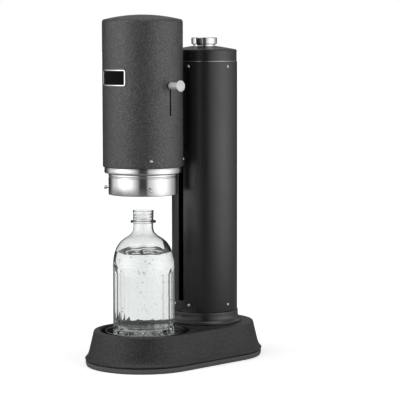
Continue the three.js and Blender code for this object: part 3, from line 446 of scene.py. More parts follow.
def clear(name, colour, ior, wave, depth):
    """Glass or water that still lets light fall on what is behind it, faintly wavy on its surface."""
    settings = {"Base Color": (*colour, 1), "Roughness": 0.0, "IOR": ior, "Transmission Weight": 1.0}
    material, tree, shader, place = new_finish(name, settings)
    ripple = add(tree, "TexNoise", {"Vector": place, "Scale": 1 / wave, "Detail": 1.0})
    bump(tree, shader, ripple.outputs["Fac"], depth)
    light_path = add(tree, "LightPath")
    passing = add(tree, "BsdfTransparent", {"Color": (*(PASSING_SHARE * part for part in colour), 1)})
    mix = add(tree, "MixShader", {0: light_path.outputs["Is Shadow Ray"]})
    tree.links.new(shader.outputs[0], mix.inputs[1])
    tree.links.new(passing.outputs[0], mix.inputs[2])
    tree.links.new(mix.outputs[0], tree.nodes["Material Output"].inputs["Surface"])
    return material


finishes = {
    "textured_black": coated("sand_textured_black", 0.003, 0.035, 0.06, 0.0017, 0.0006, 0.34, 0.44, 1.0,
                             mottle=0.32, ior=1.7),
    "satin_black": coated("satin_black_paint", 0.002, 0.005, 0.03, 0.0005, 0.00004, 0.3, 0.38, 0.85),
    "matte_plastic": coated("matte_black_moulding", 0.005, 0.01, 0.03, 0.0006, 0.00005, 0.45, 0.6, 0.6),
    "foot_rubber": coated("grey_foot_rubber", 0.1, 0.14, 0.18, 0.0008, 0.00008, 0.6, 0.75, 0.4),
    "silicone": coated("pale_silicone", 0.5, 0.58, 0.62, 0.0008, 0.00003, 0.45, 0.6, 0.5),
    "polished_steel": steel("polished_steel", (0.74, 0.74, 0.735), 0.07, 0.2, 0.0003, 0.000006),
    "brushed_steel": steel("plain_steel", (0.52, 0.53, 0.54), 0.25, 0.45, 0.0004, 0.00002),
    "brass": steel("turned_brass", (0.66, 0.49, 0.2), 0.18, 0.35, 0.0004, 0.00002),
    "glass": clear("clear_glass", (0.96, 0.975, 0.972), 1.5, 0.012, 0.00004),
    "water": clear("sparkling_water", (0.985, 0.995, 0.995), 1.33, 0.02, 0.00002),
}
base_black = coated("base_black", 0.003, 0.03, 0.06, 0.0017, 0.0005, 0.38, 0.48, 0.85, mottle=0.2)
collar_black = coated("collar_black", 0.002, 0.006, 0.03, 0.0008, 0.00005, 0.28, 0.36, 1.0)
tray_steel = steel("tray_steel", (0.3, 0.3, 0.295), 0.12, 0.28, 0.0003, 0.00001)
badge_black = coated("badge_black", 0.001, 0.002, 0.01, 0.0006, 0.00002, 0.5, 0.6, 0.08)
# The bridge's darker, duller coat is painted shade for where it sits in the head's shade
bridge_painted_shade_black = coated("bridge_painted_shade_black", 0.001, 0.002, 0.01, 0.0006, 0.00003, 0.8, 0.9, 0.05)
lid_black = coated("lid_black", 0.001, 0.005, 0.02, 0.0014, 0.00015, 0.26, 0.34, 0.95, mottle=0.2)
# Near-black steel on the guide rods is painted shade for where they sit in the shade inside the column
painted_shade_rod_metal = steel("painted_shade_rod_metal_finish", (0.02, 0.02, 0.02), 0.5, 0.6, 0.0005, 0.00002)
lever_steel = steel("turned_lever_steel", (0.95, 0.95, 0.945), 0.66, 0.76, 0.0005, 0.00002)

for row in frame["record"]["subparts"]:
    node = frame["nodes"][row["node"]]
    for holder in node.material_slots:
        holder.material = finishes[row["material_slot"]]
# The guide rods take the near-black steel, a painted shade
for node in ("guide_rod_left", "guide_rod_right"):
    for holder in frame["nodes"][node].material_slots:
        holder.material = painted_shade_rod_metal


def dress(piece, body, slot, *nodes, finish=None):
    """Gives a piece its finish, sets it on its body and lets it stand for its CAD nodes."""
    piece.data.materials.clear()
    piece.data.materials.append(finish or finishes[slot])
    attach(piece, body)
    if nodes:
        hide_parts(*nodes)
    return piece


# Base
BASE_EDGE = radius_of("base_body")
BASE_TOP = top("base_body")
BASE_BOTTOM = bottom("base_body")
BASE_CUT_TOP = BASE_TOP + OVERRUN
SKIRT_INSET = 5.1
SKIRT_HEIGHT = 18
RIM_INSET = 10.7
RIM_ROUND = 1.9
RECESS_RADIUS = radius_of("drip_tray") + 6.1
RECESS_FLOOR = bottom("drip_tray") - 0.3
RECESS_LIP_DROP = 0.9
RECESS_LIP_WIDTH = 1.6
WELL_RADIUS = 32.5
BAND_WIDTH = 9.1


def base_casting():
    lip, skirt, rim = BASE_EDGE, BASE_EDGE - SKIRT_INSET, BASE_EDGE - RIM_INSET
    corners = [
        (lip - 1.6, BASE_BOTTOM, 0.2), (lip - 1.6, BASE_BOTTOM + 1, 0.2), (lip, BASE_BOTTOM + 1.1, 0.5),
        (lip, BASE_BOTTOM + 2.4, 0.5),
    ]
    flare = bezier([
        (lip - 0.1, BASE_BOTTOM + 2.6), (skirt + 2.3, BASE_BOTTOM + 3.6), (skirt, SKIRT_HEIGHT),
    ], 8)
    shoulder_line = rounded([(skirt, SKIRT_HEIGHT), (rim, BASE_TOP, RIM_ROUND), (rim - 6, BASE_TOP)])
    points = rounded(corners)[:-1] + flare + shoulder_line[1:-1]
    rings = [stadium(radius, height, FINE_SIDES) for radius, height in points]
    casting = skin("base_casting", rings, capped=True)
    lip_radius, lip_height = RECESS_RADIUS + RECESS_LIP_WIDTH, BASE_TOP - RECESS_LIP_DROP
    recess = turned("recess", [
        (0, RECESS_FLOOR), (RECESS_RADIUS, RECESS_FLOOR, 1), (RECESS_RADIUS, lip_height, 0.3),
        (lip_radius, lip_height, 0.2), (lip_radius, BASE_CUT_TOP), (0, BASE_CUT_TOP),
    ], TRAY)
    well = turned("well", [
        (0, 0), (WELL_RADIUS, 0), (WELL_RADIUS, BASE_CUT_TOP), (0, BASE_CUT_TOP),
    ], COLUMN)
    return carve(casting, [recess, well])


def foot_band():
    outer = radius_of("foot_ring")
    inner = outer - BAND_WIDTH
    height = top("foot_ring")
    outline = rounded([
        (inner, 0, 0.5), (outer - 1.1, 0, 0.9), (outer - 0.1, height / 2, 1), (outer - 0.4, height, 0.7),
        (inner, height, 0.5),
    ])
    return skin("foot_band", [stadium(radius, level, FINE_SIDES) for radius, level in outline], loop=True)


dress(base_casting(), "stand", "textured_black", "base_body", finish=base_black)
dress(foot_band(), "stand", "foot_rubber", "foot_ring")


# Tray
TRAY_WALL = 1.1
GRILLE_SLOTS = 12
GRILLE_SLOT_HALF = 1.5
GRILLE_HUB = 12
GRILLE_RIM = 5
GRILLE_SKIN = 2


def tray_dish():
    outer = radius_of("drip_tray")
    low, high = bottom("drip_tray"), top("drip_tray")
    return turned("tray_dish", [
        (0, low), (outer, low, 2), (outer, high, 0.5), (outer - TRAY_WALL, high, 0.5),
        (outer - TRAY_WALL, low + TRAY_WALL, 1.5), (0, low + TRAY_WALL),
    ], TRAY)


def tray_floor():
    outer = radius_of("tray_grille")
    low, high = bottom("tray_grille"), top("tray_grille")
    plate = turned("tray_floor", [
        (0, high - GRILLE_SKIN), (outer - GRILLE_SKIN, high - GRILLE_SKIN), (outer - GRILLE_SKIN, low),
        (outer, low, 0.3), (outer, high, 0.6), (0, high),
    ], TRAY)
    outline = [(y, x) for x, y in obround(GRILLE_SLOT_HALF, GRILLE_HUB, outer - GRILLE_RIM)]
    slots = []
    for i in range(GRILLE_SLOTS):
        turn = Matrix.Rotation(2 * math.pi * i / GRILLE_SLOTS, 4, "Z")
        slots.append(extruded("cutter", outline, 2 * OVERRUN, at(*TRAY, low - 1) @ turn))
    return carve(plate, slots)


dress(tray_dish(), "stand", "polished_steel", "drip_tray", finish=tray_steel)
dress(tray_floor(), "stand", "matte_plastic", "tray_grille")


# Bottle and water
BOTTLE_SIDES = 192
FLUTES = 16
BOTTLE_RADIUS = radius_of("bottle")
BOTTLE_BOTTOM = bottom("bottle")
BOTTLE_HEIGHT = top("bottle") - BOTTLE_BOTTOM
NECK_RADIUS = 11.8
NECK_BOTTOM = BOTTLE_HEIGHT - 19
NECK_RING_RADIUS = 15.4
NECK_RING_MIDDLE = BOTTLE_HEIGHT - 13.4
NECK_RING_HALF = 1.3
FINISH_RADIUS = 12.1
MOUTH_RADIUS = 12.7
SHOULDER_BOTTOM = NECK_BOTTOM - 53
SHOULDER_JOIN = 81
WALL = 3.4
BORE = 10.4
FLOOR = 12
PUSH = 10
HOLLOW_REACH = 29.5
PEBBLE_REACH = 28
PEBBLE_LIFT = 0.9
FLUTE_DEPTH = 1.1
FLUTE_SOFTNESS = 0.02
FLUTE_LOW = (8, 15)
FLUTE_HIGH = (76, 84)
THREAD_PITCH = 3.2
THREAD_DEPTH = 0.6
THREAD_LOW = BOTTLE_HEIGHT - 10.6
THREAD_HIGH = BOTTLE_HEIGHT - 2.2
THREAD_FADE = 1.5
THREAD_STEPS = 30
WATER_OVERLAP = 0.06
SURFACE_STEPS = 22
MENISCUS = 0.9
BUBBLES = 380


def ease(value, low, high):
    share = min(1, max(0, (value - low) / (high - low)))
    return share * share * (3 - 2 * share)


def shoulder(side, neck, steps):
    rise = NECK_BOTTOM - SHOULDER_BOTTOM
    return bezier([(side, SHOULDER_BOTTOM), (side, SHOULDER_BOTTOM + 0.9 * rise),
                   (neck, SHOULDER_BOTTOM + 0.63 * rise), (neck, NECK_BOTTOM)], steps)


def flute(turn, height):
    depth = FLUTE_DEPTH * ease(height, *FLUTE_LOW) * (1 - ease(height, *FLUTE_HIGH))
    return depth * math.sqrt(math.sin(FLUTES * turn / 2) ** 2 + FLUTE_SOFTNESS)


def thread(turn, height):
    phase = (height / THREAD_PITCH - turn / (2 * math.pi)) % 1
    crest = max(0, math.cos(2 * math.pi * phase))
    start = ease(height, THREAD_LOW, THREAD_LOW + THREAD_FADE)
    return THREAD_DEPTH * crest * start * (1 - ease(height, THREAD_HIGH - THREAD_FADE, THREAD_HIGH))


def pebble(point, height):
    """Lift of the pebbled underside, which fades towards the standing edge."""
    lift = noise.noise(point / 2.6) + 0.4 * noise.noise(point / 1.2)
    return PEBBLE_LIFT * lift * min(1, height / 2)


def inside_points():
    inner = BOTTLE_RADIUS - WALL
    down = [(BORE, BOTTLE_HEIGHT - 1), (BORE, NECK_BOTTOM)] + shoulder(inner, BORE, 28)[-2::-1]
    down.append((inner, SHOULDER_BOTTOM))
    return down + rounded([(inner, FLOOR + 20), (inner, FLOOR, 5), (0, FLOOR)], 8)


def height_at(points, radius):
    """Height of an outline at a radius, read between its points."""
    for (near, low), (far, high) in zip(points, points[1:]):
        if near <= radius <= far:
            return low + (high - low) * (radius - near) / (far - near)
    return points[-1][1]


def bottle_blank():
    hollow = rounded([(0, PUSH), (21, 0.94 * PUSH, 5), (HOLLOW_REACH, 0)], 6)
    underside = [(radius, height_at(hollow, radius)) for radius in range(1, PEBBLE_REACH)]
    outside = [(0, PUSH)] + underside
    outside += rounded([
        underside[-1], (HOLLOW_REACH, 0, 1.5), (BOTTLE_RADIUS, 0, 4.5), (BOTTLE_RADIUS, 12),
    ], 6)[1:]
    outside += [(BOTTLE_RADIUS, height) for height in range(14, SHOULDER_JOIN, 2)]
    outside += [point for point in shoulder(BOTTLE_RADIUS, NECK_RADIUS, 40) if point[1] > SHOULDER_JOIN]
    outside += rounded([
        (NECK_RADIUS, NECK_BOTTOM + 1), (NECK_RADIUS, NECK_RING_MIDDLE - 1.5, 0.6),
        (NECK_RING_RADIUS, NECK_RING_MIDDLE - NECK_RING_HALF, 1.2),
        (NECK_RING_RADIUS, NECK_RING_MIDDLE + NECK_RING_HALF, 1.2),
        (FINISH_RADIUS, NECK_RING_MIDDLE + 1.6, 0.6), (FINISH_RADIUS, THREAD_LOW),
    ], 3)
    rise = THREAD_HIGH - THREAD_LOW
    outside += [(FINISH_RADIUS, THREAD_LOW + rise * (i + 1) / THREAD_STEPS) for i in range(THREAD_STEPS)]
    mouth = rounded([
        (FINISH_RADIUS, BOTTLE_HEIGHT - 2), (MOUTH_RADIUS, BOTTLE_HEIGHT - 1.4, 0.3),
        (MOUTH_RADIUS, BOTTLE_HEIGHT, 0.7), (BORE, BOTTLE_HEIGHT, 0.7), (BORE, BOTTLE_HEIGHT - 2),
    ], 3)[1:-1]
    rings = []
    for radius, height in outside:
        fluted = radius > BOTTLE_RADIUS - 4 and FLUTE_LOW[0] < height < FLUTE_HIGH[1]
        threaded = THREAD_LOW <= height <= THREAD_HIGH
        ring = circle(radius, height, BOTTLE_SIDES)
        if fluted or threaded:
            for i, point in enumerate(ring):
                turn = math.atan2(point.y, point.x)
                change = -flute(turn, height) if fluted else thread(turn, height)
                ring[i] = point * ((radius + change) / radius)
        for point in ring:
            point.z = height + (pebble(point, height) if radius < PEBBLE_REACH and height <= PUSH else 0)
        rings.append(ring)
    rings += revolved(mouth + inside_points(), BOTTLE_SIDES)
    return skin("fluted_bottle", rings, place=at(*HEAD, BOTTLE_BOTTOM))


def ripple(x, y):
    """Height of the water's uneasy surface over its level."""
    broad = 0.5 * math.sin(0.17 * x + 0.6) * math.cos(0.13 * y)
    return broad + 0.3 * math.sin(0.31 * y + 0.19 * x) + 0.2 * math.cos(0.5 * x - 0.35 * y)


def water_fill():
    """The water, which reaches a little into the glass so that no gap shows between them."""
    level = top("water") - BOTTLE_BOTTOM
    wall = [(0, FLOOR - 2 * WATER_OVERLAP)]
    for radius, height in inside_points()[-2::-1]:
        if height < level - 2:
            drop = WATER_OVERLAP if height < FLOOR + 1 else 0
            wall.append((radius + WATER_OVERLAP, height - drop))
    rings = revolved(wall, BOTTLE_SIDES)
    side = wall[-1][0] - 0.4
    for i in range(SURFACE_STEPS):
        ring = circle(side * (1 - i / SURFACE_STEPS), level, BOTTLE_SIDES)
        meniscus = MENISCUS * max(0, 1 - i / 2)
        for point in ring:
            point.z = level - 1 + ripple(point.x, point.y) + meniscus
        rings.append(ring)
    rings.append([Vector((0, 0, level - 1 + ripple(0, 0)))])
    return skin("water_fill", rings, place=at(*HEAD, BOTTLE_BOTTOM))


def bubble_cloud():
    """Gas bubbles: hollows in the water, so their faces look inward."""
    chance = random.Random(7)
    level = top("water") - BOTTLE_BOTTOM
    work = bmesh.new()
    for _ in range(BUBBLES):
        turn = chance.uniform(0, 2 * math.pi)
        reach = (BOTTLE_RADIUS - WALL - 1.2) * math.sqrt(chance.random())
        height = FLOOR + 1.5 + (level - FLOOR - 5) * chance.random() ** 0.8
        size = 0.18 + 0.5 * chance.random() ** 3
        place = at(reach * math.cos(turn), reach * math.sin(turn), height)
        bmesh.ops.create_icosphere(work, subdivisions=2, radius=size * MM, matrix=place)
    bmesh.ops.reverse_faces(work, faces=work.faces)
    for face in work.faces:
        face.smooth = True
    return place_mesh("bubbles", work, at(*HEAD, BOTTLE_BOTTOM))


dress(bottle_blank(), "bottle", "glass", "bottle")
dress(water_fill(), "bottle", "water", "water")
dress(bubble_cloud(), "bottle", "water")


# Column, collar and lid
COLUMN_RADIUS = radius_of("column_shell")
SHELL_WALL = 1.5
SLOT_HALF = 4.2
SLOT_RELIEF_HALF = 6.4
SLOT_SKIN = 0.9
SLOT_TOP = 260.4
SLOT_RISE = 13.5
RELIEF_OVER_SLOT = 1.5
BRIDGE_WALL = 1.6
WINDOW_HALF = 8.4
COLUMN_CUT = (COLUMN[1] - 46, COLUMN[1] - 33.7)
COLLAR_FOOT = 45.6
COLLAR_NECK = 41.4
COLLAR_BORE = 38.7
COLLAR_RISE = 13.5
SEAM_HEIGHT = 0.4
LID_SIDE = 14
LID_BORE = 3.5
SPIGOT_DEPTH = 9
BUTTON_HEIGHT = 10.2


def bridge_window(front, back):
    """The cut in a shell that the bridge opens into."""
    low, high = bottom("bridge_housing") + BRIDGE_WALL, top("bridge_housing") - BRIDGE_WALL
    return bar(-WINDOW_HALF, WINDOW_HALF, front, back, low, high)


def column_tube():
    low, high = bottom("column_shell"), top("column_shell")
    inner = COLUMN_RADIUS - SHELL_WALL
    shell = turned("column_tube", [
        (inner, low, 0.3), (COLUMN_RADIUS, low, 0.5), (COLUMN_RADIUS, high, 0.5), (inner, high, 0.3),
    ], COLUMN, loop=True)
    front, back = COLUMN_CUT
    slot = bar(-SLOT_HALF, SLOT_HALF, front, back, low + SLOT_RISE, SLOT_TOP)
    relief = bar(-SLOT_RELIEF_HALF, SLOT_RELIEF_HALF, COLUMN[1] - COLUMN_RADIUS + SLOT_SKIN, back,
                 low + SLOT_RISE - RELIEF_OVER_SLOT, SLOT_TOP + RELIEF_OVER_SLOT)
    return carve(shell, [slot, relief, bridge_window(front, back)])


def column_foot():
    low = bottom("column_collar")
    shelf = bottom("column_shell") - 0.3
    spigot_top = shelf + COLLAR_RISE
    flare_start = (COLLAR_FOOT - 1.2, low + 2.4)
    outline = rounded([
        (WELL_RADIUS, low), (COLLAR_FOOT, low, 0.3), (COLLAR_FOOT, low + 1.6, 0.7), flare_start,
    ])
    outline += bezier([flare_start, (COLLAR_NECK + 0.3, low + 3.6), (COLLAR_NECK, low + 10)], 8)
    outline += rounded([
        (COLLAR_NECK, low + 11), (COLLAR_NECK - 0.1, shelf, 0.8), (COLLAR_BORE, shelf, 0.2),
        (COLLAR_BORE, spigot_top, 0.6), (WELL_RADIUS, spigot_top),
    ])
    return skin("column_foot", revolved(outline, FINE_SIDES), loop=True, place=at(*COLUMN))


def seam_ring():
    """The thin bright ring that shows in the seam under the lid."""
    low = top("column_shell") - 0.05
    high, edge = low + SEAM_HEIGHT, COLUMN_RADIUS - 0.35
    return turned("seam_ring", [
        (edge - 1.2, low), (edge, low, 0.08), (edge, high, 0.08), (edge - 1.2, high),
    ], COLUMN, loop=True)


def lid_cap():
    low, high = top("column_shell") + 0.3, top("lid_knob") - 10.5
    edge, side_top = COLUMN_RADIUS - 0.6, low + LID_SIDE
    spigot = WELL_RADIUS - 0.3
    dome = rounded([(edge, side_top - 4), (edge, side_top, 2.2), (edge - 4, side_top + 1)], 6)[1:-1]
    dome += bezier([dome[-1], (27, high - 1.8), (15.8, high)], 10)
    spigot_low, spigot_inner = low - SPIGOT_DEPTH, spigot - 2.4
    outline = rounded([
        (LID_BORE, side_top - 4.4), (7, side_top - 4.4, 0.3), (7, side_top - 2.2),
        (spigot_inner, side_top - 2.2), (spigot_inner, spigot_low, 0.5), (spigot, spigot_low, 0.5),
        (spigot, low), (edge, low, 0.45), (edge, low + 1),
    ]) + dome + [(LID_BORE, high)]
    return skin("lid_cap", revolved(outline, FINE_SIDES), loop=True, place=at(*COLUMN))


def lid_button():
    high = top("lid_knob")
    low = high - BUTTON_HEIGHT
    radius = radius_of("lid_knob")
    foot = radius - 2.2
    return turned("lid_button", [
        (0, low - 9), (3.2, low - 9, 0.3), (3.2, low), (foot, low), (foot, low + 1.8, 0.3),
        (radius - 0.2, low + 2.2, 0.5), (radius, high - 5, 1), (radius, high, 1.3),
        (radius - 3.2, high, 0.3), (radius - 3.6, high - 0.3, 0.2), (0, high - 0.3),
    ], COLUMN)


dress(column_tube(), "stand", "satin_black", "column_shell")
dress(column_foot(), "stand", "matte_plastic", "column_collar", finish=collar_black)
dress(seam_ring(), "stand", "polished_steel")
dress(lid_cap(), "lid", "textured_black", "column_lid", finish=lid_black)
dress(lid_button(), "lid", "polished_steel", "lid_knob")


# Bridge
END_SPARE = 15
END_GAP = 0.3
BRIDGE_ROUND = 3


def bridge_neck():
    low, high = box_mm("bridge_housing")

    def outline(inset, round_radius):
        x, z = high.x - inset, (high.z - low.z) / 2 - inset
        return rounded([(x, z, round_radius), (-x, z, round_radius), (-x, -z, round_radius),
                        (x, -z, round_radius)], 6)

    length = high.y - low.y + 2 * END_SPARE
    place = at(0, high.y + END_SPARE, middle("bridge_housing")) @ Matrix.Rotation(math.pi / 2, 4, "X")
    neck = extruded("bridge_neck", outline(0, BRIDGE_ROUND), length, place)
    bore = outline(BRIDGE_WALL, BRIDGE_ROUND - BRIDGE_WALL)
    hollow = extruded("cutter", bore, length + 2, at(0, 1) @ place)
    ends = []
    for round_body, axis in ((radius_of("head_shell"), HEAD), (COLUMN_RADIUS, COLUMN)):
        radius = round_body + END_GAP
        below, above = low.z - OVERRUN, high.z + OVERRUN
        ends.append(turned("cutter", [(0, below), (radius, below), (radius, above), (0, above)], axis))
    return carve(neck, [hollow, *ends])


# The bridge wears the darker painted-shade coat, not the column's satin black
dress(bridge_neck(), "stand", "satin_black", "bridge_housing", finish=bridge_painted_shade_black)


# Head
HEAD_RADIUS = radius_of("head_shell")
HEAD_TOP = top("head_shell")
HEAD_BOTTOM = bottom("head_shell")
HEAD_INNER = HEAD_RADIUS - SHELL_WALL
HEAD_CUT = (HEAD[1] + 40, HEAD[1] + 52)
DOME_RISE = 5.8
DOME_REACH = 46.5
SIDE_STEPS = 34
NOTCH = 3.6
NOTCH_OVERRUN = 4
LEVER_SLOT_HALF = 1.1
LEVER_SLOT_DROP = 35.6
LEVER_SLOT_RISE = 3.6
LEVER_RELIEF_HALF = 3
LEVER_RELIEF_OVER_SLOT = 2
LEVER_RELIEF_DEPTH = 11.2
LEVER_CUT_START = HEAD_RADIUS - 12
LEVER_CUT_LENGTH = 20


def back_notch(low, high):
    return bar(-NOTCH, NOTCH, HEAD[1] + HEAD_RADIUS / 2, HEAD[1] + HEAD_RADIUS + NOTCH_OVERRUN, low, high)


def head_cover():
    side_top = HEAD_TOP - DOME_RISE
    corners = [(0, HEAD_TOP - 0.05)]
    corners += [(radius, HEAD_TOP - DOME_RISE * (radius / DOME_REACH) ** 2) for radius in range(4, 45, 4)]
    side = side_top - 10 - HEAD_BOTTOM
    levels = [HEAD_BOTTOM + 3 + side * i / SIDE_STEPS for i in range(SIDE_STEPS + 1)]
    corners += [(HEAD_RADIUS - 1.1, side_top, 2.6), (HEAD_RADIUS, side_top - 2.6, 1.6)]
    corners += [(HEAD_RADIUS, level) for level in reversed(levels)]
    corners += [(HEAD_RADIUS, HEAD_BOTTOM, 0.7), (HEAD_INNER, HEAD_BOTTOM, 0.4)]
    corners += [(HEAD_INNER, level) for level in levels]
    corners += [(HEAD_INNER, side_top - 4), (40, side_top - 1.6), (0, HEAD_TOP - 1.6)]
    cover = turned("head_cover", corners, HEAD)
    axle = middle("lever_shaft")
    sideways = Matrix(((0, 0, 1, 0), (1, 0, 0, 0), (0, 1, 0, 0), (0, 0, 0, 1)))
    place = at(LEVER_CUT_START, HEAD[1]) @ sideways
    low, high = axle - LEVER_SLOT_DROP, axle + LEVER_SLOT_RISE
    slot = extruded("cutter", obround(LEVER_SLOT_HALF, low, high), LEVER_CUT_LENGTH, place)
    low, high = low - LEVER_RELIEF_OVER_SLOT, high + LEVER_RELIEF_OVER_SLOT
    relief = extruded("cutter", obround(LEVER_RELIEF_HALF, low, high), LEVER_RELIEF_DEPTH, place)
    notch = back_notch(HEAD_BOTTOM - NOTCH_OVERRUN, top("shield_arm") + 1.5)
    return carve(cover, [slot, relief, notch, bridge_window(*HEAD_CUT)])


def head_rim():
    outer = radius_of("head_trim_ring")
    low, high = bottom("head_trim_ring"), top("head_trim_ring")
    bore = radius_of("shield_tube") + 0.6
    rim = turned("head_rim", [
        (bore, low, 0.3), (outer, low, 1), (outer, high - 1.2, 0.3), (outer - 0.25, high - 1, 0.2),
        (outer - 0.25, high, 0.3), (bore, high, 0.3),
    ], HEAD, loop=True)
    return carve(rim, [back_notch(low - NOTCH_OVERRUN, high + NOTCH_OVERRUN)])


def guide_collar():
    low, high = bottom("guide_ring"), top("guide_ring")
    bore, outer = radius_of("shield_tube") + 0.4, HEAD_INNER - 0.3
    collar = turned("guide_collar", [
        (bore, low, 0.6), (outer, low, 0.2), (outer, high, 0.4), (bore, high, 0.4),
    ], HEAD, loop=True)
    return carve(collar, [back_notch(low - NOTCH_OVERRUN, high + NOTCH_OVERRUN)])


dress(head_cover(), "stand", "textured_black", "head_shell")
dress(head_rim(), "stand", "polished_steel", "head_trim_ring")
dress(guide_collar(), "stand", "matte_plastic", "guide_ring")


# Badge
PATH_SPACING = 1.2
BADGE_ROUND = 2.4
BADGE_BORDER = 1.6
BADGE_PROUD = 1.2
FACE_WIDTH = 35
FACE_ROUND = 1.4
FACE_PROUD = 0.6


def rectangle_path(width, height, round_radius):
    """Places and outward directions round a rectangle with round corners."""
    path = []
    x, y = width / 2 - round_radius, height / 2 - round_radius
    middles = [(x, y, 0), (-x, y, 90), (-x, -y, 180), (x, -y, 270)]
    for i, (mx, my, start) in enumerate(middles):
        for step in range(7):
            turn = math.radians(start + 15 * step)
            outward = Vector((math.cos(turn), math.sin(turn)))
            path.append((Vector((mx, my)) + outward * round_radius, outward))
        nx, ny, _ = middles[(i + 1) % 4]
        here, outward = path[-1]
        there = Vector((nx, ny)) + outward * round_radius
        count = int((there - here).length / PATH_SPACING)
        path += [(here.lerp(there, step / count), outward) for step in range(1, count)]
    return path


def wrap(across, up, proud):
    """A point of the badge laid round the front of the head."""
    turn = across / HEAD_RADIUS
    reach = HEAD_RADIUS + proud
    return Vector((reach * math.sin(turn), -reach * math.cos(turn), up))


def badge(name, width, height, round_radius, section):
    """A closed section, as [inward, proud] points, drawn round the badge's rectangle."""
    rings = []
    for place, outward in rectangle_path(width, height, round_radius):
        points = [place - outward * inward for inward, _ in section]
        rings.append([wrap(point.x, point.y, proud) for point, (_, proud) in zip(points, section)])
    return skin(name, rings, loop=True, place=at(*HEAD, middle("badge_frame")))


def badge_face():
    low, high = box_mm("badge_plate")
    path = rectangle_path(FACE_WIDTH, high.z - low.z, FACE_ROUND)
    levels = [(1, 0.25), (1, 0.5)] + [(share, FACE_PROUD) for share in (0.99, 0.86, 0.7, 0.5, 0.3, 0.1)]
    rings = []
    for share, proud in levels:
        rings.append([wrap(share * place.x, share * place.y, proud) for place, _ in path])
    rings.append([wrap(0, 0, FACE_PROUD)])
    return skin("badge_face", rings, place=at(*HEAD, middle("badge_plate")))


frame_section = rounded([
    (0, 0.2), (0, BADGE_PROUD, 0.35), (BADGE_BORDER, BADGE_PROUD, 0.35), (BADGE_BORDER, 0.2),
], 3)
badge_low, badge_high = box_mm("badge_frame")
badge_size = badge_high - badge_low
dress(badge("badge_border", badge_size.x, badge_size.z, BADGE_ROUND, frame_section),
      "stand", "polished_steel", "badge_frame")
dress(badge_face(), "stand", "matte_plastic", "badge_plate", finish=badge_black)


# Screws
HEAD_SCREW_ANGLES = (-140, -59.4, 59.4, 140)
COLUMN_SCREW_ANGLES = (-90, -17, 17, 90)
SCREW_GAP = 0.05


def hexagon(flat, height):
    corner = math.pi / 3
    points = []
    for i in range(TINY_SIDES):
        turn = 2 * math.pi * i / TINY_SIDES
        reach = flat / math.cos(turn % corner - corner / 2)
        points.append(Vector((reach * math.cos(turn), reach * math.sin(turn), height)))
    return points


def button_screw(name, place):
    """A domed screw with a six-sided socket, outside up."""
    rings = [circle(0, 0.35, TINY_SIDES), hexagon(0.62, 0.35), hexagon(0.66, 0.95)]
    dome = rounded([
        (0.95, 0.95, 0.1), (1.45, 0.85, 0.5), (1.9, 0.25, 0.3), (1.9, 0), (1.0, 0), (1.0, -4), (0, -4),
    ], 3)
    return skin(name, rings + revolved(dome, TINY_SIDES), place=place)


def screw_row(prefix, angles, axis, wall):
    for i, angle in enumerate(angles, 1):
        node = prefix + "_" + str(i)
        place = on_wall(axis, wall + SCREW_GAP, middle(node), angle)
        dress(button_screw(node.replace("screw", "bolt"), place), "stand", "polished_steel", node)


screw_row("head_screw", HEAD_SCREW_ANGLES, HEAD, HEAD_RADIUS)
screw_row("column_screw_low", COLUMN_SCREW_ANGLES, COLUMN, COLUMN_RADIUS)
screw_row("column_screw_high", COLUMN_SCREW_ANGLES, COLUMN, COLUMN_RADIUS)


# Shield
SHIELD_WALL = 0.8
GRIP_ANGLE = 59.3


def shield_sleeve():
    outer = radius_of("shield_tube")
    inner = outer - SHIELD_WALL
    low, high = bottom("shield_tube"), top("shield_tube")
    return turned("shield_sleeve", [
        (inner, low, 0.2), (outer, low, 0.2), (outer, high, 0.2), (inner, high, 0.2),
    ], HEAD, loop=True)


def shield_cup():
    outer = radius_of("shield_cuff")
    low, high = bottom("shield_cuff"), top("shield_cuff")
    tube = radius_of("shield_tube")
    lip, bore, groove = tube - SHIELD_WALL, tube + 0.15, outer - 0.45
    shoulder_low = high - 4.6
    return turned("shield_cup", [
        (lip, low, 0.3), (outer, low, 0.9), (outer, shoulder_low, 0.25), (groove, shoulder_low + 0.5, 0.2),
        (groove, shoulder_low + 1.6, 0.3), (outer - 0.05, high - 2.4, 0.4), (outer - 0.1, high, 0.8),
        (bore, high, 0.3), (bore, low + 1, 0.2), (lip, low + 1, 0.2),
    ], HEAD, loop=True)


def finger_grip(name, node, degrees):
    """A small knob with a groove round its head, standing out from the cuff."""
    place = on_wall(HEAD, radius_of("shield_cuff"), middle(node), degrees)
    return turned(name, [
        (0, 0), (1.7, 0, 0.2), (1.4, 0.8, 0.3), (1.4, 3.6, 0.3), (2.4, 4.4, 0.4), (2.4, 5.2, 0.15),
        (2.2, 5.5, 0.1), (2.4, 5.8, 0.15), (2.4, 7.2, 0.6), (1.2, 7.2, 0.15), (1.0, 7.0, 0.1), (0, 7.0),
    ], sides=SMALL_SIDES, place=place)


dress(shield_sleeve(), "shield", "polished_steel", "shield_tube")
dress(shield_cup(), "shield", "polished_steel", "shield_cuff")
for side, angle in (("left", -GRIP_ANGLE), ("right", GRIP_ANGLE)):
    knob = "finger_knob_" + side
    dress(finger_grip("finger_grip_" + side, knob, angle), "shield", "polished_steel", knob)


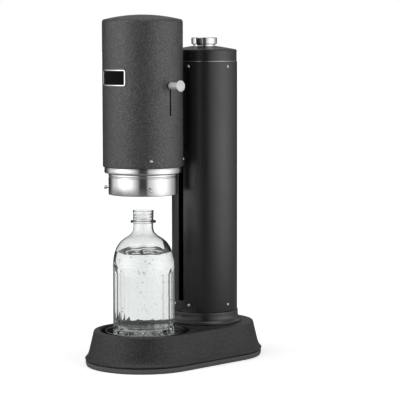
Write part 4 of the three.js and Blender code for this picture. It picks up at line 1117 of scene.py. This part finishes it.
def lever_handle():
    """Shaft and end knob in one turned shape, with the knob's shallow dish."""
    low, high = box_mm("lever_shaft")
    knob_low, knob_high = box_mm("lever_knob")
    start, neck, end = low.x, knob_low.x, knob_high.x
    shaft, knob = (high.z - low.z) / 2, (knob_high.z - knob_low.z) / 2
    place = at(0, HEAD[1], middle("lever_shaft")) @ facing(90)
    return turned("lever_handle", [
        (0, start), (shaft, start, 0.4), (shaft, neck - 0.2, 0.4), (knob, neck + 1.8, 0.6), (knob, end, 1),
        (knob - 2.2, end, 0.4), (knob - 2.8, end - 0.5, 0.4), (0, end - 0.5),
    ], sides=SMALL_SIDES * 2, place=place)


def elastic_coil(name, node):
    """A separate piece with the solid's own shape."""
    source = frame["nodes"][node]
    coil = bpy.data.objects.new(name, source.data.copy())
    coil.matrix_world = source.matrix_world.copy()
    scene.collection.objects.link(coil)
    return coil


dress(lever_handle(), "lever", "polished_steel", "lever_shaft", "lever_knob", finish=lever_steel)
spring = dress(elastic_coil("return_spring", "lever_spring"), "stand", "brushed_steel", "lever_spring")
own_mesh(spring)

hose = elastic_coil("coiled_hose", "gas_hose")
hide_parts("gas_hose")
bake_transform(hose)


# Room, light and camera
CAMERA_PLACE = Vector((1.49381, -1.41727, 0.38259))
CAMERA_AZIMUTH = math.radians(45.638)
CAMERA_PITCH = math.radians(5.205)
CAMERA_ROLL = math.radians(-0.105)
LENS = 152.87
SENSOR = 36
SIGHT = 200

# The side from which the light is laid out
PHOTO_SIDE = math.radians(46.5)
TO_CAMERA = (math.sin(PHOTO_SIDE), -math.cos(PHOTO_SIDE), 0)
TO_RIGHT = (math.cos(PHOTO_SIDE), math.sin(PHOTO_SIDE), 0)


def make_camera():
    across = Vector((math.cos(CAMERA_AZIMUTH), math.sin(CAMERA_AZIMUTH), 0))
    level = Vector((-math.sin(CAMERA_AZIMUTH), math.cos(CAMERA_AZIMUTH), 0))
    ahead = level * math.cos(CAMERA_PITCH) - Vector((0, 0, math.sin(CAMERA_PITCH)))
    up = across.cross(ahead)
    rolled = across * math.cos(CAMERA_ROLL) + up * math.sin(CAMERA_ROLL)
    upright = up * math.cos(CAMERA_ROLL) - across * math.sin(CAMERA_ROLL)
    data = bpy.data.cameras.new("photo_camera")
    data.sensor_width = SENSOR
    data.lens = LENS
    data.clip_end = SIGHT
    camera = bpy.data.objects.new("photo_camera", data)
    turn = Matrix((rolled, upright, -ahead)).transposed()
    camera.matrix_world = Matrix.Translation(CAMERA_PLACE) @ turn.to_4x4()
    scene.collection.objects.link(camera)
    scene.camera = camera


FLOOR_REACH = 80
TABLE_MIDDLE = 0.5
TABLE_REACH = (0.7, 1.8)
FLOOR_GLOW = 0.5
FLOOR_SHADE = 0.95
THROUGH_GLOW = 1.5
MIRRORED_GLOW = 0.2
MIRRORED_SHADE = 0.2


def straight_through(tree, path):
    """One for a ray that reached the eye through glass alone, with no mirror on its way."""
    unmirrored = maths(tree, "LESS_THAN", path["Glossy Depth"], 0.5)
    return maths(tree, "MULTIPLY", path["Is Transmission Ray"], unmirrored)


def make_floor():
    """A pale floor that keeps the shadow and meets the white behind it.

    Mirrored and see-through rays find only its near part, and the studio beyond that.
    """
    work = bmesh.new()
    bmesh.ops.create_grid(work, x_segments=1, y_segments=1, size=FLOOR_REACH)
    floor = place_mesh("floor", work, None)
    material = bpy.data.materials.new("pale_floor")
    material.use_nodes = True
    tree = material.node_tree
    tree.nodes.remove(tree.nodes["Principled BSDF"])
    path = add(tree, "LightPath").outputs
    through = straight_through(tree, path)
    bounced = maths(tree, "SUBTRACT", path["Is Transmission Ray"], through)
    mirrored = maths(tree, "MAXIMUM", path["Is Glossy Ray"], bounced)
    grey = remap(tree, mirrored, 0.0, 1.0, FLOOR_SHADE, MIRRORED_SHADE)
    lit = add(tree, "BsdfDiffuse", {"Color": grey})
    indirect = maths(tree, "ADD", maths(tree, "MULTIPLY", through, THROUGH_GLOW),
                     maths(tree, "MULTIPLY", mirrored, MIRRORED_GLOW))
    seen = maths(tree, "ADD", path["Is Camera Ray"], indirect)
    strength = maths(tree, "MULTIPLY", seen, FLOOR_GLOW)
    glow = add(tree, "Emission", {"Color": (1, 1, 1, 1), "Strength": strength})
    both = add(tree, "AddShader", {0: lit.outputs[0], 1: glow.outputs[0]})
    place = add(tree, "NewGeometry").outputs["Position"]
    middle = tuple(-TABLE_MIDDLE * part for part in TO_RIGHT)
    reach = add(tree, "VectorMath", {0: place, 1: middle}, operation="DISTANCE").outputs["Value"]
    beyond = maths(tree, "MULTIPLY", remap(tree, reach, *TABLE_REACH, 0.0, 1.0),
                   maths(tree, "MAXIMUM", mirrored, through))
    nothing = add(tree, "BsdfTransparent")
    mix = add(tree, "MixShader", {0: beyond, 1: both.outputs[0], 2: nothing.outputs[0]})
    tree.links.new(mix.outputs[0], tree.nodes["Material Output"].inputs["Surface"])
    floor.data.materials.append(material)


# Brightness of the studio round the machine, by the angle from the camera's side, left below zero
STUDIO = [
    (-180, 0.05), (-158, 0.03), (-140, 0.06), (-130, 0.2), (-112, 0.8), (-95, 1.1), (-66, 2.35),
    (-38, 1.45), (-20, 0.6), (-14, 0.35), (-10, 0.06), (12, 0.06), (18, 0.62), (40, 1.2), (66, 1.8),
    (84, 1.4), (116, 0.5), (142, 0.2), (160, 0.06), (180, 0.05),
]

# Share of that brightness by the upward part of the direction, from straight down to straight up
HEIGHTS = [
    (-1, 0.4), (-0.45, 0.7), (-0.25, 1), (0.15, 1), (0.45, 0.3), (0.75, 0.4), (0.86, 1.3), (1, 1.3),
]

# Glow high up behind the machine, which the dome catches
REAR_GLOW = 0.5
REAR_DEPTH = (-0.75, -0.3)
REAR_HEIGHT = (0.15, 0.4)

# What shows through glass, by the same angle as the studio, and how it darkens upwards
BACKDROP = [
    (-180, 0.98), (-150, 0.96), (-125, 0.96), (-90, 0.92), (-60, 1), (0, 0.6), (60, 1), (90, 0.6),
    (125, 0.85), (150, 0.96), (180, 0.98),
]
BACKDROP_HEIGHT = (0.25, 0.6)
BACKDROP_TOP = 0.25

# Light that the glass brings round from the left, for its left outline
LEFT_REACH = (-0.5, -0.1)
LEFT_SHARE = 0.85


def follow(tree, value, stops):
    """A value that runs through stops, each a place and the level there."""
    first, last, peak = stops[0], stops[-1], max(level for _, level in stops)
    ramp = add(tree, "ValToRGB", {"Fac": remap(tree, value, first[0], last[0], 0.0, 1.0)})
    elements = ramp.color_ramp.elements
    for place, level in stops[1:-1]:
        elements.new((place - first[0]) / (last[0] - first[0])).color = (*(level / peak,) * 3, 1)
    elements[0].color = (*(first[1] / peak,) * 3, 1)
    elements[len(elements) - 1].color = (*(last[1] / peak,) * 3, 1)
    return maths(tree, "MULTIPLY", ramp.outputs["Color"], peak)


def choose(tree, share, first, second):
    return add(tree, "Mix", {"Factor": share, 2: first, 3: second}, data_type="FLOAT").outputs[0]


def make_world():
    world = bpy.data.worlds.new("studio")
    scene.world = world
    world.use_nodes = True
    tree = world.node_tree
    way = add(tree, "TexCoord").outputs["Generated"]
    ahead = add(tree, "VectorMath", {0: way, 1: TO_CAMERA}, operation="DOT_PRODUCT").outputs["Value"]
    right = add(tree, "VectorMath", {0: way, 1: TO_RIGHT}, operation="DOT_PRODUCT").outputs["Value"]
    turn = maths(tree, "DEGREES", maths(tree, "ARCTAN2", right, ahead))
    height = add(tree, "SeparateXYZ", {0: way}).outputs["Z"]
    studio = maths(tree, "MULTIPLY", follow(tree, turn, STUDIO), follow(tree, height, HEIGHTS))
    rear = maths(tree, "MULTIPLY", remap(tree, ahead, *REAR_DEPTH, REAR_GLOW, 0.0),
                 remap(tree, height, *REAR_HEIGHT, 0.0, 1.0))
    studio = maths(tree, "ADD", studio, rear)
    path = add(tree, "LightPath").outputs
    backdrop = maths(tree, "MULTIPLY", follow(tree, turn, BACKDROP),
                     remap(tree, height, *BACKDROP_HEIGHT, 1.0, BACKDROP_TOP))
    leftward = maths(tree, "MULTIPLY", path["Is Transmission Ray"],
                     remap(tree, right, *LEFT_REACH, LEFT_SHARE, 0.0))
    share = maths(tree, "MAXIMUM", straight_through(tree, path), leftward)
    level = choose(tree, share, studio, backdrop)
    level = choose(tree, path["Is Camera Ray"], level, 1.0)
    shader = add(tree, "Background", {"Color": (1, 1, 1, 1), "Strength": level})
    tree.links.new(shader.outputs[0], tree.nodes["World Output"].inputs["Surface"])


make_camera()
make_floor()
make_world()
scene.view_settings.view_transform = "Standard"
